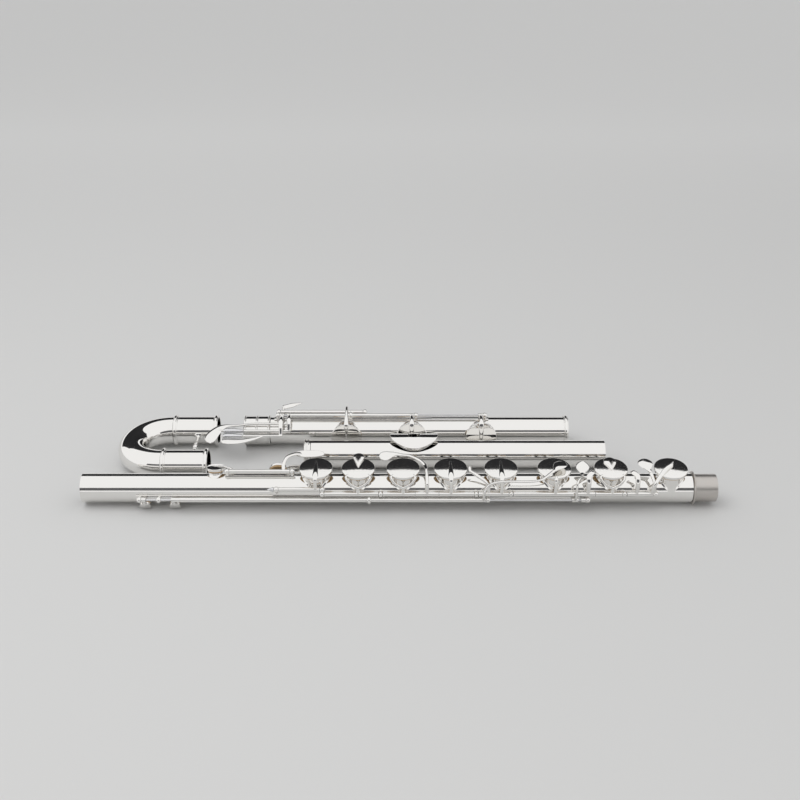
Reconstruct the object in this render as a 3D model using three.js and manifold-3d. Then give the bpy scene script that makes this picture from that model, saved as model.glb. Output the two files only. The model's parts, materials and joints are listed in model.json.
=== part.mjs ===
// A bass flute, taken apart into body joint, crook, head tube and foot joint, laid side by side.
// Millimetres. X runs along the tubes, Y to the back, Z up. Angles are in radians.

import * as THREE from "three";
import { mergeVertices } from "three/addons/utils/BufferGeometryUtils.js";
import Module from "manifold-3d";

const wasm = await Module();
wasm.setup();

const quarterTurn = Math.PI / 2;
const fullTurn = Math.PI * 2;
const degree = Math.PI / 180;

// Tubing that the four sections share.
const tubeRadius = 14.5;
const tubeWall = 0.7;
const clearance = 0.3;
const overrun = 2;
const ringHeight = 2.2;
const ringWidth = 4.6;
const ringRadius = tubeRadius + ringHeight;
const boreRadius = tubeRadius - tubeWall;

// Numbers of facets round each kind of turned piece.
const tubeSides = 20;
const cupSides = 16;
const holeSides = 12;
const rodSides = 8;
const armSides = 4;
const ovalQuarters = 2;
const ballSides = 6;
const pebbleBands = 4;
const arcSegments = 5;
const pathSteps = 7;
const longPathSteps = 20;

// Tone holes: each lies a semitone further along than the one before.
const semitone = 2 ** (1 / 12);
const firstSpacing = 41.3;
const holeRadius = 12.4;
const chimneyWall = 0.9;
const rimDistance = 17.3;

// Pad cups.
const cupRadius = 16.4;
const cupWall = 0.8;
const padThickness = 2.8;
const skirtHeight = 2.6;
const crownRise = 0.5;

// Hinges: tubes on steel rods, held in posts with round heads.
const hingeDistance = 19.6;
const hingeOffsetAngle = 78 * degree;
const hingeTubeRadius = 2.5;
const hingeBoreRadius = 1.5;
const steelRadius = 1.15;
const postWidth = 4;
const postStemRadius = 1.5;
const ribThickness = 1.1;
const ribWidth = 4.4;
const openAngle = 7.5 * degree;

// Body joint.
const upperLength = 230;
const tenonLength = 24;
const tenonInset = 9.5;
const tenonStep = 0.9;
const firstHoleX = -82;
const holeCount = 8;
const handPostOffset = 9;
const rightPostOffset = 12;
const highPostReach = 38;
const highLineAngle = 65 * degree;
const trillLineAngle = 97 * degree;
const cSharpLineAngle = 6 * degree;
const thumbLineAngle = -112 * degree;

// Where the sections lie, measured from the body joint's axis.
const crookRadius = 37.3;
const crookFrontY = 47.4;
const crookCentreX = -243;
const sleeveLength = 47.5;
const headY = 70.8;
const headLeftX = -100.4;
const headLength = 312;
const footY = 122;
const footGap = 28.2;
const footLength = 347;
const footUpperLength = 110;
const footHoleCount = 3;
const footBackAngle = -20 * degree;
const footCupAngle = 87 * degree;

const plate = { color: 0xe8e8ea, roughness: 0.08, metalness: 1 };
const silver = new THREE.MeshStandardMaterial(plate);
const satinSilver = new THREE.MeshStandardMaterial({ color: 0xc9c9c6, roughness: 0.38, metalness: 1 });
const steel = new THREE.MeshStandardMaterial({ color: 0xb4b6ba, roughness: 0.25, metalness: 1 });
const padSkin = new THREE.MeshStandardMaterial({ color: 0xb98f5e, roughness: 0.7, metalness: 0 });
const cork = new THREE.MeshStandardMaterial({ color: 0xb68a58, roughness: 0.9, metalness: 0 });

// Turns a closed three.js geometry into a solid that can be joined and cut.
function solidOf(shape) {
  if (!shape.isBufferGeometry) return shape;
  const bare = new THREE.BufferGeometry();
  bare.setAttribute("position", shape.getAttribute("position"));
  if (shape.index) bare.setIndex(shape.index);
  const welded = mergeVertices(bare);
  const corners = welded.index.array;
  const build = (turn) => {
    const triVerts = [];
    for (let i = 0; i < corners.length; i += 3) {
      const [a, b, c] = corners.slice(i, i + 3);
      if (a === b || b === c || c === a) continue;
      triVerts.push(a, turn ? c : b, turn ? b : c);
    }
    return new wasm.Manifold(
      new wasm.Mesh({
        numProp: 3,
        vertProperties: new Float32Array(welded.getAttribute("position").array),
        triVerts: Uint32Array.from(triVerts),
      }),
    );
  };
  const solid = build(false);
  return solid.volume() < 0 ? build(true) : solid;
}

function join(...shapes) {
  return shapes.map(solidOf).reduce((whole, next) => whole.add(next));
}

function cut(base, ...tools) {
  return tools.map(solidOf).reduce((rest, tool) => rest.subtract(tool), solidOf(base));
}

function common(first, second) {
  return solidOf(first).intersect(solidOf(second));
}

function meshOf(name, shape, material) {
  const cutMesh = solidOf(shape).getMesh();
  const step = cutMesh.numProp;
  const corners = new Float32Array(cutMesh.numVert * 3);
  for (let i = 0; i < cutMesh.numVert; i++) {
    corners.set(cutMesh.vertProperties.subarray(i * step, i * step + 3), i * 3);
  }
  const geometry = new THREE.BufferGeometry();
  geometry.setAttribute("position", new THREE.BufferAttribute(corners, 3));
  geometry.setIndex(new THREE.BufferAttribute(cutMesh.triVerts, 1));
  geometry.computeVertexNormals();
  const mesh = new THREE.Mesh(geometry, material);
  mesh.name = name;
  return mesh;
}

// Revolves [along, radius] points round the X axis.
function turned(points, sides) {
  const profile = points.map(([along, radius]) => new THREE.Vector2(radius, along));
  return new THREE.LatheGeometry(profile, sides).rotateZ(-quarterTurn);
}

function bar(left, right, radius, sides) {
  return turned([[left, 0], [left, radius], [right, radius], [right, 0]], sides);
}

function pipe(left, right, outer, inner, sides) {
  return turned([[left, inner], [left, outer], [right, outer], [right, inner], [left, inner]], sides);
}

// A round bar between two points, thinner at its far end where a second radius is given.
function strut(from, to, radius, endRadius = radius, sides = armSides) {
  const start = new THREE.Vector3(...from);
  const run = new THREE.Vector3(...to).sub(start);
  const shape = turned([[0, 0], [0, radius], [run.length(), endRadius], [run.length(), 0]], sides);
  const turn = new THREE.Quaternion().setFromUnitVectors(new THREE.Vector3(1, 0, 0), run.normalize());
  return shape.applyQuaternion(turn).translate(...from);
}

// A bar of oval section along a smooth path through the given points.
function sweep(points, halfWidth, halfHeight, steps, sides = ovalQuarters) {
  const outline = new THREE.Shape();
  outline.absellipse(0, 0, halfWidth, halfHeight, 0, fullTurn);
  const path = new THREE.CatmullRomCurve3(points.map((point) => new THREE.Vector3(...point)));
  return new THREE.ExtrudeGeometry(outline, { steps, extrudePath: path, curveSegments: sides, bevelEnabled: false });
}

// Turns a shape about the X axis so that its up direction leans by the angle towards the front.
function lean(shape, angle) {
  return shape.rotateX(angle);
}

function around(distance, angle) {
  return [-Math.sin(angle) * distance, Math.cos(angle) * distance];
}

function spaced(start, firstGap, count) {
  const places = [start];
  for (let i = 1; i < count; i++) {
    places.push(places[i - 1] + firstGap * semitone ** (i - 1));
  }
  return places;
}

// A key's parts are built upright, with the tone hole facing up, and then leaned to the hole's angle.
// A cup stands on its hole: it has the hole's place along the tube and the height of the hole's rim.
const mainCup = { radius: cupRadius, hole: holeRadius, rim: rimDistance };
const trillCup = { radius: 5.6, hole: 3.6, rim: 15.7 };
const cSharpCup = { radius: 8.8, hole: 6, rim: 16.2 };
const thumbCup = { radius: 9.6, hole: 6.8, rim: 16.4 };

const padBottom = clearance;
const padTop = padBottom + padThickness;
const cupRoof = padTop + clearance;
const cupTop = cupRoof + cupWall;
const cupSkirt = cupTop - skirtHeight;

// Revolves [radius, height] points round the Z axis.
function upright(points, sides) {
  const profile = points.map(([radius, height]) => new THREE.Vector2(radius, height));
  return new THREE.LatheGeometry(profile, sides).rotateX(quarterTurn);
}

function cupShape(x, cup) {
  const inner = cup.radius - cupWall;
  const profile = [
    [0, cupRoof],
    [inner, cupRoof],
    [inner, cupSkirt],
    [cup.radius, cupSkirt],
    [cup.radius, cupTop],
    [0, cupTop + crownRise],
  ];
  return upright(profile, cupSides).translate(x, 0, cup.rim);
}

function padShape(x, cup) {
  const radius = cup.radius - cupWall - clearance;
  const profile = [[0, padBottom], [radius, padBottom], [radius, padTop], [0, padTop]];
  return upright(profile, cupSides).translate(x, 0, cup.rim);
}

// Tone holes: chimneys that rise from the tube to a flat rim, and the bores through them.
function chimney(x, angle, cup) {
  const wall = cup.hole + chimneyWall;
  const shape = upright([[0, 0], [wall, 0], [wall, cup.rim], [0, cup.rim]], holeSides);
  return lean(shape.translate(x, 0, 0), angle);
}

function chimneyBore(x, angle, cup) {
  const reach = cup.rim + overrun;
  const shape = upright([[0, 0], [cup.hole, 0], [cup.hole, reach], [0, reach]], holeSides);
  return lean(shape.translate(x, 0, 0), angle);
}

function tubeWithHoles(left, right, holes) {
  const outside = join(
    bar(left, right, tubeRadius, tubeSides),
    ...holes.map(({ x, angle, cup }) => chimney(x, angle, cup)),
  );
  const bore = bar(left - overrun, right + overrun, boreRadius, tubeSides);
  return cut(outside, bore, ...holes.map(({ x, angle, cup }) => chimneyBore(x, angle, cup)));
}

// Arms join the hinge tube to the cup's edge. The hinge lies at [y, z] in the upright frame.
const armRadius = 1.9;
const armTipRadius = 1.3;
const armStandOff = 1;
const spineRadius = 1.5;
const spineTipRadius = 0.3;
const spineReachShare = 0.72;
const forkSpread = 42 * degree;
const forkStartShare = 0.42;
const teardropTurn = 38 * degree;

function cupEdge(x, cup, side, spread) {
  const reach = cup.radius + armStandOff;
  return [x + Math.sin(spread) * reach, -side * Math.cos(spread) * reach, cup.rim + cupTop - armTipRadius];
}

function pointedArm(x, cup, hinge, side) {
  const edge = cupEdge(x, cup, side, 0);
  const root = [x, edge[1], cup.rim + cupTop];
  const tip = [x, side * cup.radius * spineReachShare, cup.rim + cupTop + spineRadius / 2];
  return join(
    strut([x, ...hinge], edge, armRadius, armTipRadius),
    strut(root, tip, spineRadius, spineTipRadius),
  );
}

function plainArm(x, cup, hinge, side) {
  return solidOf(strut([x, ...hinge], cupEdge(x, cup, side, 0), armRadius, armTipRadius));
}

function forkedArm(x, cup, hinge, side) {
  const edge = cupEdge(x, cup, side, 0);
  const middle = edge.map((value, i) => (i ? hinge[i - 1] + (value - hinge[i - 1]) * forkStartShare : x));
  return join(
    strut([x, ...hinge], middle, armRadius, armTipRadius),
    strut(middle, cupEdge(x, cup, side, forkSpread), armTipRadius),
    strut(middle, cupEdge(x, cup, side, -forkSpread), armTipRadius),
  );
}

// A flat rounded touch for a finger.
const touchThickness = 0.9;

function pebble(centre, lengthRadius, widthRadius) {
  const shape = new THREE.SphereGeometry(1, cupSides / 2, pebbleBands).rotateX(quarterTurn);
  return shape.scale(lengthRadius, widthRadius, touchThickness).translate(...centre);
}

// A teardrop touch on a cup's crown, round at the edge away from the hinge and pointed at the middle.
function teardrop(x, cup, side, roundRadius, shift = 0) {
  const outline = new THREE.Shape();
  const centre = cup.radius;
  outline.moveTo(0, 0);
  outline.lineTo(roundRadius, centre);
  outline.absarc(0, centre, roundRadius, 0, Math.PI, false);
  outline.lineTo(0, 0);
  const depth = touchThickness * 2;
  const blade = new THREE.ExtrudeGeometry(outline, { depth, bevelEnabled: false, curveSegments: arcSegments });
  const lift = cup.rim + cupTop + crownRise / 2;
  return blade.scale(1, side, 1).rotateZ(shift * side).translate(x, 0, lift);
}

function hingeTube(left, right, hinge) {
  return pipe(left, right, hingeTubeRadius, hingeBoreRadius, rodSides).translate(0, ...hinge);
}

function hingeBore(left, right, hinge) {
  return bar(left - overrun, right + overrun, hingeBoreRadius, rodSides).translate(0, ...hinge);
}

// A key pinned to its rod turns with it and is carried at the rod's two ends.
function pinnedRod([left, right], hinge) {
  const sleeve = (armRadius + clearance) * 2;
  return [
    bar(left - postWidth, right + postWidth, steelRadius, rodSides).translate(0, ...hinge),
    bar(left, left + sleeve, hingeTubeRadius, rodSides).translate(0, ...hinge),
    bar(right - sleeve, right, hingeTubeRadius, rodSides).translate(0, ...hinge),
  ];
}

// A key's group sits on its hinge line, turned by the angle at which the key stands open.
function keyGroup(line, openTurn) {
  const group = new THREE.Group();
  group.position.set(0, ...around(line.distance, line.angle));
  group.rotation.x = openTurn;
  return group;
}

function addToKey(group, name, shape, cupAngle, material) {
  const mesh = meshOf(name, shape, material);
  lean(mesh.geometry, cupAngle);
  mesh.geometry.translate(0, -group.position.y, -group.position.z);
  group.add(mesh);
}

// One sprung key: cup, arm and hinge tube in one piece, and the pad in the cup.
function cuppedKey({ name, x, cup, cupAngle, line, span, arm, extras, openTurn, pinned }) {
  const offset = line.angle - cupAngle;
  const hinge = around(line.distance, offset);
  const side = Math.sign(offset);
  const group = keyGroup(line, openTurn);
  const added = extras ? extras(hinge, side) : [];
  const axle = pinned ? pinnedRod(span, hinge) : [hingeTube(...span, hinge)];
  const armed = join(cupShape(x, cup), arm(x, cup, hinge, side), ...added, ...axle);
  const key = pinned ? armed : cut(armed, hingeBore(...span, hinge));
  const padRoom = upright(
    [[0, padBottom], [cup.radius - cupWall, padBottom], [cup.radius - cupWall, cupRoof], [0, cupRoof]],
    cupSides,
  ).translate(x, 0, cup.rim);
  addToKey(group, name, cut(key, padRoom), cupAngle, silver);
  addToKey(group, name.replace("key", "pad"), padShape(x, cup), cupAngle, padSkin);
  return group;
}

// Posts stand on a strap along the tube, each with a head bored for the rod or tube that runs in it.
const headWall = 1.5;

function post(x, distance, runnerRadius, leanAngle = 0) {
  const floor = tubeRadius + clearance + ribThickness / 2;
  const bore = runnerRadius + clearance;
  const left = x - postWidth / 2;
  const right = x + postWidth / 2;
  const [headY, headZ] = around(distance, leanAngle);
  return {
    body: [
      bar(left, right, bore + headWall, ballSides).translate(0, headY, headZ),
      strut([x, 0, floor], [x, headY, headZ], postStemRadius),
    ],
    bore: bar(left - overrun, right + overrun, bore, rodSides).translate(0, headY, headZ),
  };
}

function postStrap(left, right, posts) {
  const strap = new THREE.BoxGeometry(right - left, ribWidth, ribThickness);
  strap.translate((left + right) / 2, 0, tubeRadius + clearance + ribThickness / 2);
  return cut(join(strap, ...posts.flatMap(({ body }) => body)), ...posts.map(({ bore }) => bore));
}

function strapMesh(name, line, left, right, posts) {
  const mesh = meshOf(name, postStrap(left, right, posts), silver);
  lean(mesh.geometry, line.angle);
  return mesh;
}

// A steel rod with a slotted flat end, or a pointed cap at the left or right.
const finialLength = 7;

function rodMesh(name, line, left, right, finial = 0) {
  const shapes = [bar(left, right, steelRadius, rodSides)];
  const end = finial < 0 ? left : right;
  const cap = [[0, 0], [0, hingeTubeRadius], [finialLength / 3, hingeTubeRadius], [finialLength, 0]];
  if (finial) shapes.push(turned(cap.map(([x, r]) => [end + finial * x, r]), rodSides));
  const mesh = meshOf(name, join(...shapes), steel);
  mesh.position.set(0, ...around(line.distance, line.angle));
  return mesh;
}

// Shares a bay between two posts among the keys whose arms stand in it.
function spansBetween(posts, arms) {
  return arms.map((x) => {
    const before = Math.max(...posts.filter((post) => post < x));
    const after = Math.min(...posts.filter((post) => post > x));
    const near = arms.filter((other) => other > before && other < after);
    const lower = near.filter((other) => other < x);
    const higher = near.filter((other) => other > x);
    const left = lower.length ? (Math.max(...lower) + x) / 2 + clearance / 2 : before + postWidth / 2 + clearance;
    const right = higher.length ? (Math.min(...higher) + x) / 2 - clearance / 2 : after - postWidth / 2 - clearance;
    return [left, right];
  });
}

// Body joint.
const holes = spaced(firstHoleX, firstSpacing, holeCount);
const mainLine = { angle: hingeOffsetAngle, distance: hingeDistance };
const highLine = { angle: highLineAngle, distance: hingeDistance };
const trillLine = { angle: trillLineAngle, distance: hingeDistance };
const cSharpLine = { angle: cSharpLineAngle, distance: hingeDistance };
const thumbLine = { angle: thumbLineAngle, distance: hingeDistance };

const thumbHoleX = firstHoleX - firstSpacing / semitone;
const thumbAngle = -62 * degree;
const cSharpHoleX = -181;
const cSharpAngle = -16 * degree;
const cSharpRightX = -107.6;
const cSharpRun = 15;
const cSharpReach = 22.4;
const trillHoleXs = [-220, -249];
const trillAngle = 125 * degree;

const bodyLeftX = firstHoleX - upperLength;
const bodyRightX = holes[7] + holeRadius + tenonInset;
const firstPostX = holes[0] + postWidth / 2 + hingeTubeRadius + armRadius;
const innerPosts = [(holes[1] + holes[2]) / 2, (holes[3] + holes[4]) / 2];
const leftPosts = [firstPostX, ...innerPosts, holes[4] + handPostOffset];
const lastPostX = holes[7] - cupRadius;
const rightPosts = [leftPosts[3], holes[6] + rightPostOffset, lastPostX];
const highPostX = holes[0] - highPostReach;

function boreAngle(angle, cup, xs) {
  return xs.map((x) => ({ x, angle, cup }));
}

function bodyTube() {
  const places = [
    ...boreAngle(0, mainCup, holes),
    ...boreAngle(cSharpAngle, cSharpCup, [cSharpHoleX]),
    ...boreAngle(thumbAngle, thumbCup, [thumbHoleX]),
    ...boreAngle(trillAngle, trillCup, trillHoleXs),
  ];
  return meshOf("body_tube", tubeWithHoles(bodyLeftX, bodyRightX, places), silver);
}

// The foot's socket slides over the tenon, which is a sleeve set into the tube behind a ring.
function bodyTenon() {
  const outer = tubeRadius - tenonStep;
  const inner = outer - tenonStep - tubeWall;
  const seat = bodyRightX + clearance;
  const profile = [
    [bodyRightX - tenonInset, inner],
    [bodyRightX - tenonInset, boreRadius - clearance],
    [seat, boreRadius - clearance],
    [seat, ringRadius - ringHeight / 2],
    [seat + ringWidth / 4, ringRadius],
    [seat + ringWidth / 2, ringRadius - ringHeight / 2],
    [seat + ringWidth / 2, outer],
    [seat + tenonLength, outer],
    [seat + tenonLength, inner],
    [bodyRightX - tenonInset, inner],
  ];
  return meshOf("body_tenon", turned(profile, tubeSides), satinSilver);
}

// Touches and link arms of the main row, drawn in the upright frame.
const touchRadius = 5.6;
const touchLift = 1;
const touchHeight = rimDistance + cupTop + touchThickness + touchLift;
const linkRise = 12;
const linkDrop = 1.4;
const linkOffset = cupRadius + clearance + armTipRadius;

// An arched arm from a neighbour's hinge tube that ends close beside the edge of the F cup.
function linkArch(side, [y, z]) {
  const foot = holes[6] + side * (linkOffset + touchRadius);
  const tip = holes[6] + side * linkOffset;
  const path = [
    [foot, y, z],
    [foot, y, z + linkRise],
    [(foot + tip) / 2, y + touchRadius / 2, touchHeight - touchLift],
    [tip, y + touchRadius, touchHeight - linkDrop],
  ];
  return sweep(path, armTipRadius, armTipRadius, pathSteps);
}

// The E key's touch stands left of its cup, on an arm of its own.
function eTouch([y, z]) {
  const x = lastPostX - touchRadius - armRadius - postWidth;
  const path = [
    [x + touchRadius, y, z],
    [x + touchRadius, y, z + linkRise],
    [x + touchLift, y + touchRadius, touchHeight],
    [x, 0, touchHeight + touchLift],
  ];
  const lobe = pebble([x, touchRadius, touchHeight + touchLift], touchRadius + touchLift, cupRadius / 2);
  return [sweep(path, armTipRadius, armRadius, pathSteps), lobe];
}

// The E cup is reached by a long tapering arm from the hinge tube's end.
function longArm(x, cup, [y, z]) {
  const root = lastPostX - postWidth;
  const path = [
    [root, y, z],
    [root + armRadius, y - armTipRadius, z + linkRise],
    [x - cup.radius / 2, -cup.radius / 2, touchHeight],
    [x, touchRadius / 2, touchHeight],
  ];
  return join(sweep(path, armRadius, armTipRadius, pathSteps), pointedTip(x, cup));
}

function pointedTip(x, cup) {
  const from = [x - cup.radius / 2, -cup.radius / 2, touchHeight - touchLift];
  return strut(from, [x + touchRadius / 2, cup.radius / 2, touchHeight - touchLift], armRadius, spineTipRadius);
}

const mainKeys = [
  { name: "b_key", arm: pointedArm },
  { name: "a_sharp_key", arm: forkedArm, extras: () => [teardrop(holes[1], mainCup, 1, touchRadius)] },
  { name: "a_key", arm: forkedArm, extras: () => [teardrop(holes[2], mainCup, 1, touchRadius, teardropTurn)] },
  { name: "g_sharp_key", arm: pointedArm },
  { name: "g_key", arm: pointedArm },
  { name: "f_sharp_key", arm: plainArm, extras: (hinge) => [linkArch(-1, hinge)] },
  { name: "f_key", arm: forkedArm, extras: () => [teardrop(holes[6], mainCup, 1, touchRadius)] },
  { name: "e_key", arm: longArm, extras: (hinge) => [...eTouch(hinge), linkArch(1, hinge)] },
];

const leverX = (holes[2] + holes[3]) / 2;
const linkBoundary = holes[6] - cupRadius;

function mainSpans() {
  const arms = [holes[1], holes[2], leverX, holes[3], holes[4], holes[5], holes[6], lastPostX - postWidth * 2];
  const spans = spansBetween([...leftPosts, ...rightPosts], arms);
  const [a, aSharpToLever, lever, ...rest] = spans;
  rest[2][1] = linkBoundary - clearance / 2;
  rest[3][0] = linkBoundary + clearance / 2;
  const high = [highPostX + postWidth / 2 + clearance, firstPostX - postWidth / 2 - clearance];
  return { keys: [high, a, aSharpToLever, ...rest], lever };
}

function mainRow() {
  const spans = mainSpans().keys;
  return mainKeys.map(({ name, arm, extras }, i) =>
    cuppedKey({
      name,
      x: holes[i],
      cup: mainCup,
      cupAngle: 0,
      line: i ? mainLine : highLine,
      span: spans[i],
      arm,
      extras,
      openTurn: openAngle,
    }),
  );
}

// The G sharp lever hooks up between two cups to a small touch.
function gSharpLever() {
  const group = keyGroup(mainLine, 0);
  const [y, z] = around(mainLine.distance, mainLine.angle);
  const hookTop = touchHeight + touchLift;
  const path = [
    [leverX, y, z],
    [leverX, y - armTipRadius, z + linkRise],
    [leverX, y + touchRadius, hookTop],
    [leverX, 0, hookTop],
  ];
  const shape = join(
    sweep(path, armTipRadius, armTipRadius, pathSteps),
    pebble([leverX, 0, hookTop], touchRadius / 2, touchRadius),
    hingeTube(...mainSpans().lever, [y, z]),
  );
  addToKey(group, "g_sharp_lever", cut(shape, hingeBore(...mainSpans().lever, [y, z])), 0, silver);
  return group;
}

function cSharpKey() {
  const spread = cSharpCup.radius + touchRadius;
  const span = [cSharpHoleX + spread, cSharpRightX];
  const lift = linkRise / 2;
  const touch = ([y, z]) => {
    const right = span[1] - lift;
    const path = [
      [right, y, z],
      [right, y + lift, z + lift / 2],
      [right + armRadius, y + cSharpReach - lift, z + lift],
      [right + cSharpRun, y + cSharpReach, z + lift],
    ];
    const lobeX = right + cSharpRun + cSharpCup.radius;
    const lobe = pebble([lobeX, y + cSharpReach, z + lift], cSharpCup.radius + lift, touchRadius - touchThickness);
    return [sweep(path, armTipRadius, armTipRadius, pathSteps), lobe];
  };
  const arm = (x, cup, [y, z]) =>
    join(
      strut([span[0] + armRadius, y, z], [span[0] + armRadius, y + touchRadius, z], armTipRadius),
      strut([span[0] + armRadius, y + touchRadius, z], [x + cup.radius / 2, 0, cup.rim + cupTop], armTipRadius),
      strut([x + cup.radius / 2, 0, cup.rim + cupTop], [x, 0, cup.rim + cupTop], armTipRadius, spineTipRadius),
    );
  const key = cuppedKey({
    name: "c_sharp_key",
    x: cSharpHoleX,
    cup: cSharpCup,
    cupAngle: cSharpAngle,
    line: cSharpLine,
    span,
    arm,
    extras: touch,
    openTurn: openAngle,
  });
  return { key, span };
}

// The two trill keys share a line: one is pinned to the steel rod, the other is the tube round it.
const trillTouchXs = [156, 178];
const trillLeverX = 81;
const trillBend = 5.5;
const trillTouchLift = 4.3;

function trillArm(x, cup, hinge, side) {
  return solidOf(strut([x, ...hinge], [x, -side * cup.radius / 2, cup.rim + cupTop], armTipRadius));
}

// Lever from the trill line up in front of the main row and back over it to a touch.
function trillLever(rootX, touchX, height) {
  const [y, z] = around(trillLine.distance, trillLine.angle);
  const frontY = y - trillBend;
  const long = touchX > rootX;
  const run = [
    [rootX + trillBend, frontY, touchHeight - trillBend],
    [rootX + trillBend * 3, frontY + armTipRadius, touchHeight - armRadius],
    [touchX - trillBend * 4, frontY + armTipRadius, touchHeight - armTipRadius],
  ];
  const path = [
    [rootX, y, z],
    [rootX, frontY, z + trillBend],
    [rootX, frontY - armTipRadius, z + linkRise],
    ...(long ? run : [[rootX, frontY + armRadius, touchHeight - armRadius]]),
    [touchX - (long ? touchLift : 0), frontY + trillBend * 2, height],
    [touchX, frontY + trillBend * 3, height],
  ];
  const lobe = pebble([touchX, -trillBend, height], touchRadius + touchLift, cupRadius / 2);
  return [sweep(path, armTipRadius, armTipRadius, long ? longPathSteps : pathSteps), lobe];
}

function trillKey(name, i, span, lever, pinned) {
  return cuppedKey({
    name,
    x: trillHoleXs[i],
    cup: trillCup,
    cupAngle: trillAngle,
    line: trillLine,
    span,
    arm: trillArm,
    extras: () => lever.map((shape) => lean(shape, -trillAngle)),
    openTurn: 0,
    pinned,
  });
}

function trillKeys() {
  const ends = armRadius + clearance;
  const tubeSpan = [trillHoleXs[0] - ends, trillLeverX + ends];
  const rodSpan = [trillHoleXs[1] - ends, trillTouchXs[1] + ends];
  return [
    trillKey("trill_d_key", 0, tubeSpan, trillLever(trillLeverX, trillTouchXs[0], touchHeight + trillTouchLift)),
    trillKey("trill_d_sharp_key", 1, rodSpan, trillLever(trillTouchXs[1], trillTouchXs[1], touchHeight), true),
  ];
}

const thumbSpan = [thumbHoleX - cupRadius, thumbHoleX + cupRadius];

function thumbKey() {
  const arm = (x, cup, [y, z]) => {
    const edge = [x, cup.radius, cup.rim + cupTop - armTipRadius];
    return solidOf(strut([x, y, z], edge, armRadius));
  };
  const touch = () => {
    const root = [thumbHoleX, 0, thumbCup.rim + cupTop];
    const end = [thumbHoleX + cupRadius, 0, thumbCup.rim + cupTop + touchLift];
    return [strut(root, end, armTipRadius), pebble(end, cupRadius / 2, touchRadius)];
  };
  return cuppedKey({
    name: "thumb_key",
    x: thumbHoleX,
    cup: thumbCup,
    cupAngle: thumbAngle,
    line: thumbLine,
    span: thumbSpan,
    arm,
    extras: touch,
    openTurn: -openAngle,
  });
}

const postGap = postWidth / 2 + clearance;
const trillMiddleX = -30;

function mainPostRib() {
  const places = [...leftPosts, ...rightPosts.slice(1)];
  const high = highLine.angle - mainLine.angle;
  const posts = [
    ...places.map((x) => post(x, mainLine.distance, steelRadius)),
    ...[highPostX, firstPostX].map((x) => post(x, highLine.distance, steelRadius, high)),
  ];
  return strapMesh("main_post_rib", mainLine, highPostX - postWidth, lastPostX + postWidth, posts);
}

function trillPostRib() {
  const sleeve = armRadius + clearance;
  const left = trillHoleXs[1] - sleeve - postGap;
  const right = trillTouchXs[1] + sleeve + postGap;
  const rodPosts = [left, (trillHoleXs[0] + trillHoleXs[1]) / 2, trillLeverX + sleeve + postGap, right];
  const posts = [
    ...rodPosts.map((x) => post(x, trillLine.distance, steelRadius)),
    post(trillMiddleX, trillLine.distance, hingeTubeRadius),
  ];
  return strapMesh("trill_post_rib", trillLine, left - postWidth, right + postWidth, posts);
}

function lineOfTwo(line, [left, right], names, finial = 0) {
  const ends = [left - postGap, right + postGap];
  const posts = ends.map((x) => post(x, line.distance, steelRadius));
  return [
    strapMesh(names.posts, line, ends[0] - postWidth / 2, ends[1] + postWidth / 2, posts),
    rodMesh(names.rod, line, ends[0] - postWidth / 2, ends[1] + postWidth / 2, finial),
  ];
}

function bodyJoint() {
  const group = new THREE.Group();
  const cSharp = cSharpKey();
  const half = postWidth / 2;
  group.add(
    bodyTube(),
    bodyTenon(),
    mainPostRib(),
    trillPostRib(),
    rodMesh("b_rod", highLine, highPostX - half - clearance, firstPostX + half, -1),
    rodMesh("left_hand_rod", mainLine, leftPosts[0] - half, leftPosts[3] - clearance / 2),
    rodMesh("right_hand_rod", mainLine, leftPosts[3] + clearance / 2, lastPostX + half),
    ...lineOfTwo(cSharpLine, cSharp.span, { posts: "c_sharp_posts", rod: "c_sharp_rod" }),
    ...lineOfTwo(thumbLine, thumbSpan, { posts: "thumb_posts", rod: "thumb_rod" }),
    ...mainRow(),
    gSharpLever(),
    cSharp.key,
    ...trillKeys(),
    thumbKey(),
  );
  return group;
}

// Crook: a half circle of tube between two sleeves, each ringed at both ends, with a turned brace.
const bendSteps = 9;
const braceX = -215;
const braceFlange = 5;
const braceWaist = 1.4;
const braceBall = 3;

function crookBend() {
  const outline = new THREE.Shape();
  outline.absarc(0, 0, tubeRadius, 0, fullTurn);
  const bore = new THREE.Path();
  bore.absarc(0, 0, boreRadius, 0, fullTurn, true);
  outline.holes.push(bore);
  class HalfTurn extends THREE.Curve {
    getPoint(share, target = new THREE.Vector3()) {
      const angle = share * Math.PI;
      return target.set(-Math.sin(angle) * crookRadius, -Math.cos(angle) * crookRadius, 0);
    }
  }
  const settings = { steps: bendSteps, extrudePath: new HalfTurn(), curveSegments: tubeSides / 2, bevelEnabled: false };
  const mesh = meshOf("crook_bend", new THREE.ExtrudeGeometry(outline, settings), silver);
  mesh.position.set(crookCentreX, crookRadius, 0);
  return mesh;
}

function ringedSleeve(length) {
  const soft = ringWidth / 4;
  return turned([
    [0, boreRadius],
    [0, ringRadius - soft],
    [soft, ringRadius],
    [ringWidth - soft, ringRadius],
    [ringWidth, tubeRadius],
    [length - ringWidth, tubeRadius],
    [length - ringWidth + soft, ringRadius],
    [length - soft, ringRadius],
    [length, ringRadius - soft],
    [length, boreRadius],
    [0, boreRadius],
  ], tubeSides);
}

function sleeve(name, y) {
  const mesh = meshOf(name, ringedSleeve(sleeveLength), silver);
  mesh.position.set(crookCentreX + clearance, y, 0);
  return mesh;
}

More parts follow.
